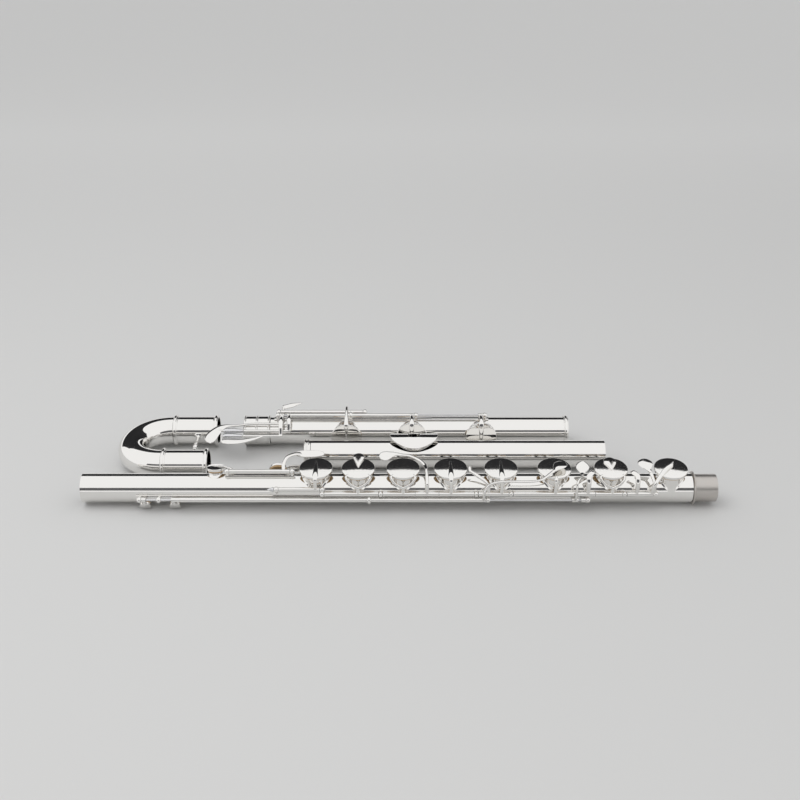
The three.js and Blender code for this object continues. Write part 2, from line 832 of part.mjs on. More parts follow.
function crookBrace() {
  const [flange, waist, ball] = [braceFlange, braceWaist, braceBall];
  const reach = (crookRadius - tubeRadius - clearance) * 2;
  const middle = reach / 2;
  const profile = [
    [0, 0],
    [0, flange],
    [waist, flange],
    [waist * 2, waist * 2],
    [middle - ball - waist, waist],
    [middle - ball, ball / 2],
    [middle, ball],
    [middle + ball, ball / 2],
    [middle + ball + waist, waist],
    [reach - waist * 2, waist * 2],
    [reach - waist, flange],
    [reach, flange],
    [reach, 0],
  ];
  const mesh = meshOf("crook_brace", turned(profile, cupSides / 2).rotateZ(quarterTurn), silver);
  mesh.position.set(braceX, tubeRadius + clearance, 0);
  return mesh;
}

function crook() {
  const group = new THREE.Group();
  group.position.set(0, crookFrontY, 0);
  group.add(crookBend(), sleeve("front_sleeve", 0), sleeve("rear_sleeve", crookRadius * 2), crookBrace());
  return group;
}

// Head tube, with its lip plate on a riser, and the crown, screw and cork of its stopper.
const blowHoleX = 14.5;
const blowHoleAngle = -10 * degree;
const blowHoleLength = 6.3;
const blowHoleWidth = 5.4;
const riserWall = 1.8;
const plateLength = 25;
const plateWidth = 17;
const plateArcRadius = 19.5;
const plateWall = 1.4;
const plateCrest = 21.5;
const crownLength = 8;
const crownPlug = 6;
const crownRadius = ringRadius - ringHeight / 2;
const headDrop = ringRadius - crownRadius;
const corkLength = 22;
const corkDistance = 27;
const corkFaceX = blowHoleX - corkDistance;
const corkDiscRadius = 9;
const screwRadius = 2.2;

function ovalColumn(lengthRadius, widthRadius, low, high) {
  const shape = upright([[0, low], [1, low], [1, high], [0, high]], cupSides);
  return shape.scale(lengthRadius, widthRadius, 1);
}

function lipPlate() {
  const centreZ = plateCrest - plateArcRadius;
  const reach = plateLength + overrun;
  const shell = (radius) => bar(-reach, reach, radius, tubeSides).translate(0, 0, centreZ);
  const sheet = common(
    cut(shell(plateArcRadius), shell(plateArcRadius - plateWall)),
    ovalColumn(plateLength, plateWidth, centreZ + plateWall * 3, plateCrest + overrun),
  );
  const riser = ovalColumn(blowHoleLength + riserWall, blowHoleWidth + riserWall, 0, plateCrest - plateWall / 2);
  const blowHole = ovalColumn(blowHoleLength, blowHoleWidth, 0, plateCrest + overrun);
  const tube = bar(-reach, reach, tubeRadius + clearance, tubeSides);
  const mesh = meshOf("lip_plate", cut(join(sheet, riser), blowHole, tube), silver);
  lean(mesh.geometry, blowHoleAngle);
  mesh.position.x = blowHoleX;
  return mesh;
}

function headTube() {
  const left = headLeftX + crownLength + clearance;
  const shell = pipe(left, headLeftX + headLength, tubeRadius, boreRadius, tubeSides);
  const hole = lean(ovalColumn(blowHoleLength, blowHoleWidth, 0, plateCrest), blowHoleAngle);
  return meshOf("head_tube", cut(shell, hole.translate(blowHoleX, 0, 0)), silver);
}

function crown() {
  const profile = [
    [headLeftX, 0],
    [headLeftX, tubeRadius / 2],
    [headLeftX + ringHeight / 2, tubeRadius],
    [headLeftX + ringHeight, crownRadius],
    [headLeftX + crownLength - ringHeight, crownRadius],
    [headLeftX + crownLength, tubeRadius],
    [headLeftX + crownLength, boreRadius - clearance],
    [headLeftX + crownLength + crownPlug, boreRadius - clearance],
    [headLeftX + crownLength + crownPlug, 0],
  ];
  return meshOf("crown", turned(profile, tubeSides), silver);
}

function stopper() {
  const left = headLeftX + crownLength + crownPlug + clearance;
  const corkLeft = corkFaceX - corkLength;
  const screw = join(
    bar(left, corkLeft - clearance, screwRadius, rodSides),
    bar(corkLeft - screwRadius - clearance, corkLeft - clearance, corkDiscRadius, cupSides),
  );
  return [
    meshOf("stopper_screw", screw, steel),
    meshOf("stopper_cork", bar(corkLeft, corkFaceX, boreRadius - clearance, cupSides), cork),
  ];
}

function headJoint() {
  const group = new THREE.Group();
  group.position.set(0, headY, -headDrop);
  group.add(headTube(), lipPlate(), crown(), ...stopper());
  return group;
}

// Foot joint. Its cups face the front and its hinge lines run along the top.
const footLeftX = crookCentreX + clearance + sleeveLength + footGap;
const footFirstHoleX = footLeftX + footUpperLength;
const footHoles = spaced(footFirstHoleX, firstSpacing * semitone ** (holeCount + 1), footHoleCount);
const footLine = { angle: footCupAngle - hingeOffsetAngle, distance: hingeDistance };
const footBackLine = { angle: footBackAngle, distance: hingeDistance };
const socketLength = 28;
const socketWall = 0.8;
const footRightX = footLeftX + footLength;

function footTube() {
  const places = boreAngle(footCupAngle, mainCup, footHoles);
  const left = footLeftX + socketLength + clearance;
  return meshOf("foot_tube", tubeWithHoles(left, footRightX, places), silver);
}

function footSocket() {
  const inner = tubeRadius - tenonStep + clearance;
  const outer = inner + tenonStep + socketWall;
  const bead = ringWidth / 2;
  const beadAt = (x) => [
    [footLeftX + x, outer],
    [footLeftX + x + bead / 2, ringRadius],
    [footLeftX + x + bead, outer],
  ];
  const profile = [
    [footLeftX, inner],
    ...beadAt(0),
    ...beadAt(socketLength / 2 - bead / 2),
    ...beadAt(socketLength - bead),
    [footLeftX + socketLength, inner],
    [footLeftX, inner],
  ];
  return meshOf("foot_socket", turned(profile, tubeSides), silver);
}

function footEndRing() {
  const inner = tubeRadius + clearance;
  const left = footRightX - ringWidth;
  const profile = [
    [left, inner],
    [left, ringRadius - ringHeight / 2],
    [left + ringWidth / 2, ringRadius],
    [footRightX, ringRadius - ringHeight / 2],
    [footRightX, inner],
    [left, inner],
  ];
  return meshOf("foot_end_ring", turned(profile, tubeSides), silver);
}

// The little finger's cluster is laid out on a plane that tips to the front.
const clusterTilt = 23.4 * degree;
const clusterHeight = 16;
const axleYs = [-21, -29];
const topBarY = -13.5;
const topBarLift = 3;
const axleRadius = 1.15;
const rollerRadius = 3;
const rollerLength = 20;
const rollerOverhang = 19.5;
const rollerLeftX = footLeftX - rollerOverhang;
const axleBallRadius = 2.1;
const rollerBoreRadius = axleRadius + clearance;
const bracketReaches = [49, 41];
const bracketXs = bracketReaches.map((reach) => footLeftX + reach);
const clusterPlateWidth = 4.6;
const lobeRadius = 4.6;
const lobeLength = 8.5;
const clusterPlateHalf = 1.1;
const bracketCornerShare = 0.72;
const bladeTurnX = 32;
const bladeEndX = 44;

function onCluster(shape) {
  return shape.rotateX(clusterTilt).translate(0, 0, clusterHeight);
}

function clusterPoint(y, lift = 0) {
  const [cos, sin] = [Math.cos(clusterTilt), Math.sin(clusterTilt)];
  return [y * cos - lift * sin, y * sin + lift * cos + clusterHeight];
}

// An axle that carries a roller, with a small ball at the roller's right end.
function axle(y, left, right) {
  const ballX = rollerLeftX + rollerLength + clearance + axleBallRadius;
  const ball = new THREE.SphereGeometry(axleBallRadius, ballSides, pebbleBands).translate(ballX, y, 0);
  return [onCluster(bar(left, right, axleRadius, rodSides).translate(0, y, 0)), onCluster(ball)];
}

// A bracket from the hinge line round to an axle on the cluster's plane.
function bracket(x, y) {
  const [hingeY, hingeZ] = around(footLine.distance, footLine.angle);
  const [axleY, axleZ] = clusterPoint(y);
  const corner = [x, hingeY + (axleY - hingeY) * bracketCornerShare, hingeZ - axleRadius];
  return [
    strut([x, hingeY, hingeZ], corner, armRadius, armTipRadius),
    strut(corner, [x, axleY, axleZ], armTipRadius),
  ];
}

function cSharpCluster() {
  const x = bracketXs[0];
  const lobeX = rollerLeftX - lobeRadius - rollerRadius;
  const lobeY = (axleYs[0] + axleYs[1]) / 2 - touchLift;
  const joinX = rollerLeftX + rollerLength / 2;
  const hook = [
    [joinX, topBarY, 0],
    [rollerLeftX, topBarY, 0],
    [lobeX + touchLift, (topBarY + lobeY) / 2, 0],
    [lobeX, lobeY, 0],
  ];
  const [barY, barZ] = clusterPoint(topBarY, topBarLift);
  const [topY, topZ] = clusterPoint(topBarY);
  return [
    ...bracket(x, axleYs[0]),
    ...axle(axleYs[0], lobeX, x),
    onCluster(sweep(hook, clusterPlateHalf, axleRadius, pathSteps)),
    onCluster(pebble([lobeX, lobeY, 0], lobeRadius, lobeLength)),
    strut([x, barY, barZ], [joinX + rollerLength, barY, barZ], axleRadius),
    strut([joinX + rollerLength, barY, barZ], [joinX, topY, topZ], axleRadius),
  ];
}

function cCluster() {
  const x = bracketXs[1];
  const left = rollerLeftX - axleRadius;
  const plateY = axleYs[1] - rollerRadius - clusterPlateWidth;
  const blade = [
    [left + axleRadius, plateY, 0],
    [left + rollerLength, plateY, 0],
    [left + bladeTurnX, plateY + clusterPlateWidth / 2, 0],
    [left + bladeEndX, axleYs[1], 0],
  ];
  return [
    ...bracket(x, axleYs[1]),
    ...axle(axleYs[1], left - axleRadius, x),
    onCluster(sweep(blade, clusterPlateHalf, clusterPlateWidth / 2, pathSteps)),
    onCluster(strut([left, axleYs[1], 0], [left, plateY, 0], axleRadius)),
  ];
}

// The pointed touch behind the back line opens the D sharp cup.
function pointedTouch() {
  const [y, z] = around(footBackLine.distance, footBackLine.angle);
  const root = [bracketXs[1], y + touchRadius, z + touchRadius / 2];
  const tip = [root[0] + rollerLength, y + touchRadius * 2, z + touchRadius];
  return [
    strut([bracketXs[1], y, z], root, armRadius, armTipRadius),
    strut(root, tip, armRadius + touchThickness, spineTipRadius),
  ];
}

// The D sharp cup's arm arches over the other keys' line.
function archedArm(x, cup, [y, z]) {
  const crest = hingeDistance + touchRadius;
  const edge = cupEdge(x, cup, -1, 0);
  const path = [
    [x, y, z],
    [x, crest, z + armRadius],
    [x, crest, z + touchRadius * 2],
    [x, edge[1] + armRadius, edge[2] - armRadius],
    [x, edge[1] - armStandOff, cup.rim + cupTop],
  ];
  const spine = strut([x, edge[1], cup.rim + cupTop], [x, 0, cup.rim + cupTop], spineRadius, spineTipRadius);
  return join(sweep(path, armTipRadius, armTipRadius, pathSteps), spine);
}

const footSleeve = armRadius + clearance;
const footRodSpan = [bracketXs[1] - footSleeve, footHoles[2] + footSleeve];
const footTubeSpan = [bracketXs[0] - footSleeve, footHoles[1] + footSleeve];
const footBackSpan = [bracketXs[1] - footSleeve, footHoles[0] + touchRadius * 3];

function footKey(name, i, line, span, arm, extras, pinned) {
  return cuppedKey({
    name,
    x: footHoles[i],
    cup: mainCup,
    cupAngle: footCupAngle,
    line,
    span,
    arm,
    extras: () => extras().map((shape) => lean(shape, -footCupAngle)),
    openTurn: i ? -openAngle : 0,
    pinned,
  });
}

function roller(name, lever, y) {
  const mesh = meshOf(name, pipe(0, rollerLength, rollerRadius, rollerBoreRadius, rodSides), steel);
  const group = new THREE.Group();
  const [axleY, axleZ] = clusterPoint(y);
  group.position.set(rollerLeftX, axleY - lever.position.y, axleZ - lever.position.z);
  group.add(mesh);
  lever.add(group);
}

function footPosts() {
  const middleX = (footTubeSpan[0] + footTubeSpan[1]) / 2;
  const places = [footRodSpan[0] - postGap, footTubeSpan[1] + postGap, footRodSpan[1] + postGap];
  const posts = [
    ...places.map((x) => post(x, footLine.distance, steelRadius)),
    post(middleX, footLine.distance, hingeTubeRadius),
  ];
  return strapMesh("foot_post_rib", footLine, places[0] - postWidth, places[2] + postWidth, posts);
}

function footJoint() {
  const group = new THREE.Group();
  group.position.set(0, footY, 0);
  const cSharp = footKey("c_sharp_foot_key", 1, footLine, footTubeSpan, pointedArm, cSharpCluster);
  const c = footKey("c_foot_key", 2, footLine, footRodSpan, pointedArm, cCluster, true);
  roller("upper_roller", cSharp, axleYs[0]);
  roller("lower_roller", c, axleYs[1]);
  const names = { posts: "foot_back_posts", rod: "foot_back_rod" };
  group.add(
    footTube(),
    footSocket(),
    footEndRing(),
    footPosts(),
    ...lineOfTwo(footBackLine, footBackSpan, names),
    footKey("d_sharp_foot_key", 0, footBackLine, footBackSpan, archedArm, pointedTouch),
    cSharp,
    c,
  );
  return group;
}

// All four sections lie on one flat surface, each resting on its rings.
const flute = new THREE.Group();
flute.add(bodyJoint(), crook(), headJoint(), footJoint());
flute.updateMatrixWorld(true);
const extent = new THREE.Box3().setFromObject(flute, true);
const middle = extent.getCenter(new THREE.Vector3());
flute.position.set(-middle.x, -middle.y, -extent.min.z);
flute.updateMatrixWorld(true);

export default flute;
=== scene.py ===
import json
import math

import bpy
import bmesh
import numpy as np
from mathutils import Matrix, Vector


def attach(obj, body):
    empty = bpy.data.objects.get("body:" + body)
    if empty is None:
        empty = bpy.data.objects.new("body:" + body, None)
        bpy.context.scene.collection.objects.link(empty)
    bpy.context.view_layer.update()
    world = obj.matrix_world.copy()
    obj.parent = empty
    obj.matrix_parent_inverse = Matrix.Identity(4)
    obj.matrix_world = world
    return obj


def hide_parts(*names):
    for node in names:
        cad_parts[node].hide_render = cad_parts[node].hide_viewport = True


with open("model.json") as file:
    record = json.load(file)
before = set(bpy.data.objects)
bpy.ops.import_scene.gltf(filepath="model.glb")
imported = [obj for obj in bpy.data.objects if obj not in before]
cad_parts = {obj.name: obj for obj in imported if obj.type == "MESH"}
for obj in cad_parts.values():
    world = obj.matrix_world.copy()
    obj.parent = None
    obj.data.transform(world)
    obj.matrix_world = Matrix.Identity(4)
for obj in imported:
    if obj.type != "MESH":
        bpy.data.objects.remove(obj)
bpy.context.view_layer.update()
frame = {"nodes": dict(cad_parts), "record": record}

# A bass flute in four sections, each named by the body that carries it. Shapes are drawn in millimetres
# with the section's axis along X, and then moved to its place in the frame, which is in metres.
millimetre = 0.001
degree = math.pi / 180
frameShift = np.array([0.851, -56.320, 16.7])
sections = {
    "body_joint": np.array([0.0, 0.0, 0.0]),
    "crook": np.array([0.0, 47.4, 0.0]),
    "head": np.array([0.0, 70.8, -1.1]),
    "foot_joint": np.array([0.0, 122.0, 0.0]),
}


# Shapes: each is a pair of an array of corners and a list of faces.
def joined(*shapes):
    faces, count = [], 0
    for points, polygons in shapes:
        faces += [tuple(i + count for i in polygon) for polygon in polygons]
        count += len(points)
    return np.vstack([points for points, _ in shapes]), faces


def moved(shape, x, y=0.0, z=0.0):
    return shape[0] + np.array([x, y, z]), shape[1]


# Turns a shape about a line along X that passes through [y, z].
def leaned(shape, angle, centre=(0.0, 0.0)):
    cos, sin = math.cos(angle), math.sin(angle)
    y, z = shape[0][:, 1] - centre[0], shape[0][:, 2] - centre[1]
    return np.column_stack([shape[0][:, 0], centre[0] + y * cos - z * sin, centre[1] + y * sin + z * cos]), shape[1]


def swapped(shape, axes, signs=(1, 1, 1)):
    return shape[0][:, axes] * np.array(signs, float), shape[1]


def unit(vector):
    return vector / max(np.linalg.norm(vector), 1e-9)


def ringAngles(sides):
    return np.arange(sides) * 2 * math.pi / sides


def quarterTurn(steps):
    return np.linspace(0, math.pi / 2, steps + 1)


# Rounds the corners of a profile. A profile that ends where it starts is a closed one.
def softened(profile, radius, steps=5):
    points = [np.array(p, float) for p in profile]
    closed = np.allclose(points[0], points[-1])
    before, inner = ([points[-2], *points], points) if closed else (points, points[1:])
    made = []
    for last, point, following in zip(before, inner, inner[1:]):
        back, ahead = last - point, following - point
        reach = min(radius, np.linalg.norm(back) * 0.45, np.linalg.norm(ahead) * 0.45)
        start, end = point + unit(back) * reach, point + unit(ahead) * reach
        made += [start * (1 - t) ** 2 + point * 2 * t * (1 - t) + end * t * t for t in np.linspace(0, 1, steps + 1)]
    return [*made, made[0]] if closed else [points[0], *made, points[-1]]


# A skin over rings of corners. A ring of one corner is a pole.
def skinned(rings, closed=False):
    rows, faces, count = [], [], 0
    for ring in rings:
        rows.append(range(count, count + len(ring)))
        count += len(ring)
    for low, high in zip(rows, rows[1:] + rows[:closed]):
        sides = max(len(low), len(high))
        for i in range(sides):
            k = (i + 1) % sides
            corners = [low[i % len(low)], low[k % len(low)], high[k % len(high)], high[i % len(high)]]
            face = tuple(dict.fromkeys(corners))
            if len(face) > 2:
                faces.append(face)
    return np.vstack(rings), faces


# Turns [along, radius] points round the X axis.
def revolved(profile, sides=None):
    angles = ringAngles(sides or tubing["sides"])
    closed = np.allclose(profile[0], profile[-1])
    rings = []
    for along, radius in profile[:-1] if closed else profile:
        if radius < 1e-6:
            rings.append([(along, 0.0, 0.0)])
        else:
            rings.append([(along, -radius * math.sin(a), radius * math.cos(a)) for a in angles])
    return skinned(rings, closed)


# Turns [radius, height] points round the Z axis.
def upright(profile, sides):
    return swapped(revolved([(height, radius) for radius, height in profile], sides), (1, 2, 0))


def turned(profile, edgeRound, steps=5, sides=None):
    return revolved(softened(profile, edgeRound, steps), sides)


def rod(left, right, radius):
    profile = [(left, 0), (left, radius), (right, radius), (right, 0)]
    return turned(profile, hingeLook["edgeRound"], 3, hingeLook["sides"])


def hollow(left, right, outer, inner, edgeRound=None, sides=None):
    profile = [(left, inner), (left, outer), (right, outer), (right, inner), (left, inner)]
    return turned(profile, edgeRound or hingeLook["edgeRound"], 3, sides or hingeLook["sides"])


# Points along a smooth path through the given ones.
def smoothPath(points, steps):
    points = [np.array(p, float) for p in points]
    if len(points) == 2:
        return np.linspace(*points, steps + 1)
    ends = [points[0] * 2 - points[1], *points, points[-1] * 2 - points[-2]]
    spans = len(points) - 1
    made = []
    for share in np.linspace(0, spans, steps + 1):
        i = min(int(share), spans - 1)
        knots, four = [0.0], ends[i:i + 4]
        for a, b in zip(four, four[1:]):
            knots.append(knots[-1] + np.linalg.norm(b - a) ** 0.5)
        t = knots[1] + (share - i) * (knots[2] - knots[1])
        for pairs in (((0, 1), (1, 2), (2, 3)), ((0, 2), (1, 3)), ((1, 2),)):  # blends neighbours, level by level
            shares = [(t - knots[low]) / (knots[high] - knots[low]) for low, high in pairs]
            four = [a * (1 - s) + b * s for a, b, s in zip(four, four[1:], shares)]
        made.append(four[0])
    return np.array(made)


armLook = {"radius": 1.9, "tip": 1.3, "sides": 20, "steps": 40, "capRings": 4}
armUp = (0, 1, 0.2)


# A bar of oval section along a path. Widths lie across the up direction, heights along it.
def limb(points, widths, heights, up=(0, 0, 1), steps=None, sides=None):
    steps = steps or armLook["steps"]
    angles = ringAngles(sides or armLook["sides"])
    centres = smoothPath(points, steps)
    shares = np.linspace(0, 1, steps + 1)
    width = np.interp(shares, np.linspace(0, 1, len(widths)), widths)
    height = np.interp(shares, np.linspace(0, 1, len(heights)), heights)
    side = np.cross(centres[1] - centres[0], up)
    frames = []
    for run in np.gradient(centres, axis=0):
        run = unit(run)
        side = unit(side - run * np.dot(side, run))
        frames.append((run, side, np.cross(side, run)))
    first, last = min(width[0], height[0]), min(width[-1], height[-1])
    capTurns = (np.arange(armLook["capRings"]) + 0.35) / armLook["capRings"] * math.pi / 2
    spots = [(0, -first * math.cos(turn), math.sin(turn)) for turn in capTurns]
    spots += [(i, 0.0, 1.0) for i in range(steps + 1)]
    spots += [(steps, last * math.cos(turn), math.sin(turn)) for turn in reversed(capTurns)]
    rings = [[centres[0] - frames[0][0] * first]]
    for i, ahead, share in spots:
        run, across, top = frames[i]
        ring = np.outer(np.cos(angles) * width[i], across) + np.outer(np.sin(angles) * height[i], top)
        rings.append(centres[i] + run * ahead + ring * share)
    return skinned([*rings, [centres[-1] + frames[-1][0] * last]])


def strut(start, end, radius, endRadius=None):
    radii = [radius, endRadius or radius]
    return limb([start, end], radii, radii, up=(0.3, 0.2, 1), steps=10)


touchLook = {"thickness": 0.9, "sides": 56, "leafSteps": 56, "leafSides": 28, "leafSamples": 33}


# A spoon or leaf: a thin neck that widens smoothly and ends in a round tip.
def leaf(points, neck, width, thickness, fullAt):
    widths, heights = [], []
    for share in np.linspace(0, 1, touchLook["leafSamples"]):
        if share < fullAt:
            rise = share / fullAt
            half = neck + (width - neck) * rise * rise * (3 - 2 * rise)
        else:
            half = width * math.sqrt(max(1 - ((share - fullAt) / (1 - fullAt)) ** 2, 0.002))
        widths.append(half)
        heights.append(min(max(thickness, neck * (1 - share * 2)), half))
    return limb(points, widths, heights, steps=touchLook["leafSteps"], sides=touchLook["leafSides"])


# A rounded button or touch, drawn over an outline of [x, y] points.
def slab(outline, low, high, rounding, dome, steps=5):
    outline = np.array(outline, float)
    middle = outline.mean(axis=0)
    inward = middle - outline
    lengths = np.linalg.norm(inward, axis=1)[:, None]

    def ring(shrink, height, share=1.0):
        spots = outline + inward / lengths * np.minimum(shrink, lengths * 0.8)
        return np.column_stack([middle + (spots - middle) * share, np.full(len(spots), height)])

    turns = quarterTurn(steps)
    rings = [ring(rounding * (1 - math.sin(turn)), low + rounding * (1 - math.cos(turn))) for turn in turns]
    rings += [ring(rounding * (1 - math.cos(turn)), high - rounding + rounding * math.sin(turn)) for turn in turns]
    rings += [ring(rounding, high + dome * (1 - share * share), share) for share in (0.75, 0.5, 0.25, 0.1)]
    return skinned([[(*middle, low)], *rings, [(*middle, high + dome)]])


def oval(lengthRadius, widthRadius, power=2.0, sides=None):
    angles = ringAngles(sides or touchLook["sides"])
    cos, sin = np.cos(angles), np.sin(angles)
    x = np.sign(cos) * np.abs(cos) ** (2 / power) * lengthRadius
    y = np.sign(sin) * np.abs(sin) ** (2 / power) * widthRadius
    return np.stack([x, y], axis=1)


def pebble(centre, lengthRadius, widthRadius):
    thick = touchLook["thickness"]
    shape = slab(oval(lengthRadius, widthRadius, 2.2), -thick, thick * 0.55, thick * 0.7, thick * 0.4)
    return moved(shape, *centre)


# A teardrop's outline: round about [0, far], pointed at the middle.
def dropOutline(roundRadius, far):
    pointed = math.sqrt(far ** 2 - roundRadius ** 2) * 0.02
    lean = math.asin(roundRadius / far)
    arc = [
        (roundRadius * math.cos(a), far + roundRadius * math.sin(a))
        for a in np.linspace(-lean, math.pi + lean, touchLook["sides"])
    ]
    flank = [(arc[-1][0] * (1 - t), arc[-1][1] * (1 - t)) for t in np.linspace(0.1, 0.9, 8)]
    return arc + flank + [(0.0, pointed)] + [(-x, y) for x, y in reversed(flank)]


# Materials, by the record's slots. Each pattern follows the object's own coordinates.
finishes = {
    "silver_plate": {"name": "silverPlate", "color": (0.85, 0.838, 0.816), "roughness": 0.03, "spread": (0.0, 0.05),
                     "scale": 55.0, "stretch": 0.35},
    "satin_silver": {"name": "satinSilver", "color": (0.56, 0.532, 0.504), "roughness": 0.36, "spread": (-0.12, 0.12),
                     "scale": 260.0, "stretch": 14.0, "detail": 6.0, "bump": (0.12, 0.0002)},
    "rod_steel": {"name": "rodSteel", "color": (0.72, 0.72, 0.73), "roughness": 0.16, "spread": (-0.06, 0.08),
                  "scale": 300.0, "stretch": 6.0},
    "pad_skin": {"name": "padSkin", "color": (0.62, 0.43, 0.24), "dark": (0.5, 0.33, 0.17), "roughness": 0.62,
                 "scale": 420.0, "bump": (0.2, 0.0003)},
    "cork": {"name": "cork", "color": (0.62, 0.43, 0.24), "dark": (0.3, 0.17, 0.08), "roughness": 0.85,
             "cells": True, "scale": 900.0, "bump": (0.3, 0.0004)},
}


def setInputs(node, values):
    for label, value in values.items():
        node.inputs[label].default_value = value


def added(tree, kind, values=()):
    node = tree.nodes.new(kind)
    setInputs(node, dict(values))
    return node


def ranged(tree, source, low, high, target):
    spread = added(tree, "ShaderNodeMapRange", {"To Min": low, "To Max": high})
    tree.links.new(source, spread.inputs["Value"])
    tree.links.new(spread.outputs["Result"], target)


def material(name, color, metallic, roughness):
    made = bpy.data.materials.new(name)
    made.use_nodes = True
    shader = made.node_tree.nodes["Principled BSDF"]
    setInputs(shader, {"Base Color": (*color, 1), "Metallic": metallic, "Roughness": roughness})
    return made, made.node_tree, shader


# Metals have fine marks drawn out along X, in which the roughness wanders. Skin and cork are mottled in colour.
def finish(look):
    made, tree, shader = material(look["name"], look["color"], float("spread" in look), look["roughness"])
    place = added(tree, "ShaderNodeTexCoord")
    mapping = added(tree, "ShaderNodeMapping", {"Scale": (look.get("stretch", 1.0), 1, 1)})
    kind, output = ("ShaderNodeTexVoronoi", "Distance") if "cells" in look else ("ShaderNodeTexNoise", "Fac")
    texture = added(tree, kind, {"Scale": look["scale"], "Detail": look.get("detail", 4.0)})
    tree.links.new(place.outputs["Object"], mapping.inputs["Vector"])
    tree.links.new(mapping.outputs["Vector"], texture.inputs["Vector"])
    marks = texture.outputs[output]
    if "spread" in look:
        low, high = (look["roughness"] + change for change in look["spread"])
        ranged(tree, marks, low, high, shader.inputs["Roughness"])
    if "dark" in look:
        mix = added(tree, "ShaderNodeMix")
        mix.data_type = "RGBA"
        setInputs(mix, {"A": (*look["dark"], 1), "B": (*look["color"], 1)})
        tree.links.new(marks, mix.inputs["Factor"])
        tree.links.new(mix.outputs["Result"], shader.inputs["Base Color"])
    if "bump" in look:
        strength, distance = look["bump"]
        bump = added(tree, "ShaderNodeBump", {"Strength": strength, "Distance": distance})
        tree.links.new(marks, bump.inputs["Height"])
        tree.links.new(bump.outputs["Normal"], shader.inputs["Normal"])
    return made


materials = {slot: finish(look) for slot, look in finishes.items()}


def coat(thing, slot):
    thing.data.materials.clear()
    thing.data.materials.append(materials[slot])


nodeSlots = {row["node"]: row["material_slot"] for row in frame["record"]["subparts"]}
for name, node in frame["nodes"].items():
    coat(node, nodeSlots[name])
print("materials made")


def camel(node):
    first, *others = node.split("_")
    return first + "".join(word.capitalize() for word in others)


def inScene(name, data):
    thing = bpy.data.objects.new(name, data)
    bpy.context.scene.collection.objects.link(thing)
    return thing


def inFrame(points, section):
    return (np.array(points) + sections[section] + frameShift) * millimetre


def evaluated(thing):
    bpy.context.view_layer.update()
    return bpy.data.meshes.new_from_object(thing.evaluated_get(bpy.context.evaluated_depsgraph_get()))


# Makes one smooth mesh of a shape drawn in a section's millimetres.
def meshOf(name, shape, section):
    mesh = bpy.data.meshes.new(name)
    mesh.from_pydata(inFrame(shape[0], section).tolist(), [], shape[1])
    work = bmesh.new()
    work.from_mesh(mesh)
    bmesh.ops.recalc_face_normals(work, faces=work.faces)
    work.to_mesh(mesh)
    work.free()
    mesh.shade_smooth()
    return mesh


# Puts a piece on its body, with the finish of its slot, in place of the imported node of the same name, if any.
def placed(thing, node, body, slot):
    coat(thing, slot)
    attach(thing, body)
    if node in frame["nodes"]:
        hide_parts(node)


sharpAngle = 38 * degree  # edges past it stay sharp


# A piece rides on its section's own body, unless another is named.
def piece(node, section, shape, body=None, slot="silver_plate"):
    name = camel(node)
    thing = inScene(name, meshOf(name, shape, section))
    thing.data.set_sharp_from_angle(angle=sharpAngle)
    weighting = thing.modifiers.new("evenNormals", "WEIGHTED_NORMAL")
    weighting.keep_sharp = True
    placed(thing, node, body or section, slot)


# Tubes and tone holes.
tubing = {"radius": 14.5, "wall": 0.7, "sides": 128, "ringHeight": 2.2, "ringWidth": 4.6, "ringRound": 0.45,
          "edgeRound": 0.15}
toneHole = {"wall": 0.9, "flare": 2.2, "flareDrop": 1.6, "rollRadius": 0.55, "rollInside": 1.2, "rollOutside": 1.4,
            "sides": 72, "cutFrom": 8.0, "cutTo": 24.0}
bore = tubing["radius"] - tubing["wall"]
gap = 0.3  # between pieces that move apart


def cutHoles(mesh, cutters):
    base = inScene(mesh.name, mesh)
    tools = [inScene("holeCutter", cutter) for cutter in cutters]
    for tool in tools:
        cut = base.modifiers.new("hole", "BOOLEAN")
        cut.operation = "DIFFERENCE"
        cut.solver = "EXACT"
        cut.object = tool
    made, name = evaluated(base), mesh.name
    for thing in [base, *tools]:
        old = thing.data
        bpy.data.objects.remove(thing)
        bpy.data.meshes.remove(old)
    made.name = name
    return made


# Gives a bored tube the normals of true cylinders.
def cylinderNormals(mesh, section, outer, inner):
    centre, slack, tilt = inFrame((0, 0, 0), section), 0.15, 0.3
    normals = np.zeros((len(mesh.loops), 3))
    for face in mesh.polygons:
        flat = np.array(face.normal)
        outs = (np.array([mesh.vertices[i].co for i in face.vertices]) - centre) * (0, 1, 1)
        radii = np.linalg.norm(outs, axis=1) / millimetre
        lengthwise = abs(flat[0]) < tilt
        for i, out in zip(face.loop_indices, outs):
            facing = np.dot(out, flat)
            if lengthwise and min(radii) > outer - slack and facing > 0:
                normals[i] = unit(out)
            elif lengthwise and max(radii) < inner + slack and facing < 0:
                normals[i] = -unit(out)
            else:
                normals[i] = flat
    mesh.normals_split_custom_set(normals.tolist())


def boredTube(node, section, left, right, cuts):
    name = camel(node)
    shell = hollow(left, right, tubing["radius"], bore, tubing["edgeRound"], tubing["sides"])
    cutters = [meshOf("cutter", leaned(moved(shape, x), angle), section) for x, angle, shape in cuts]
    mesh = cutHoles(meshOf(name, shell, section), cutters)
    mesh.shade_smooth()
    cylinderNormals(mesh, section, tubing["radius"], bore)
    placed(inScene(name, mesh), node, section, "silver_plate")


def columnOf(radius):
    low, high = toneHole["cutFrom"], toneHole["cutTo"]
    return upright([(0, low), (radius, low), (radius, high), (0, high)], toneHole["sides"])


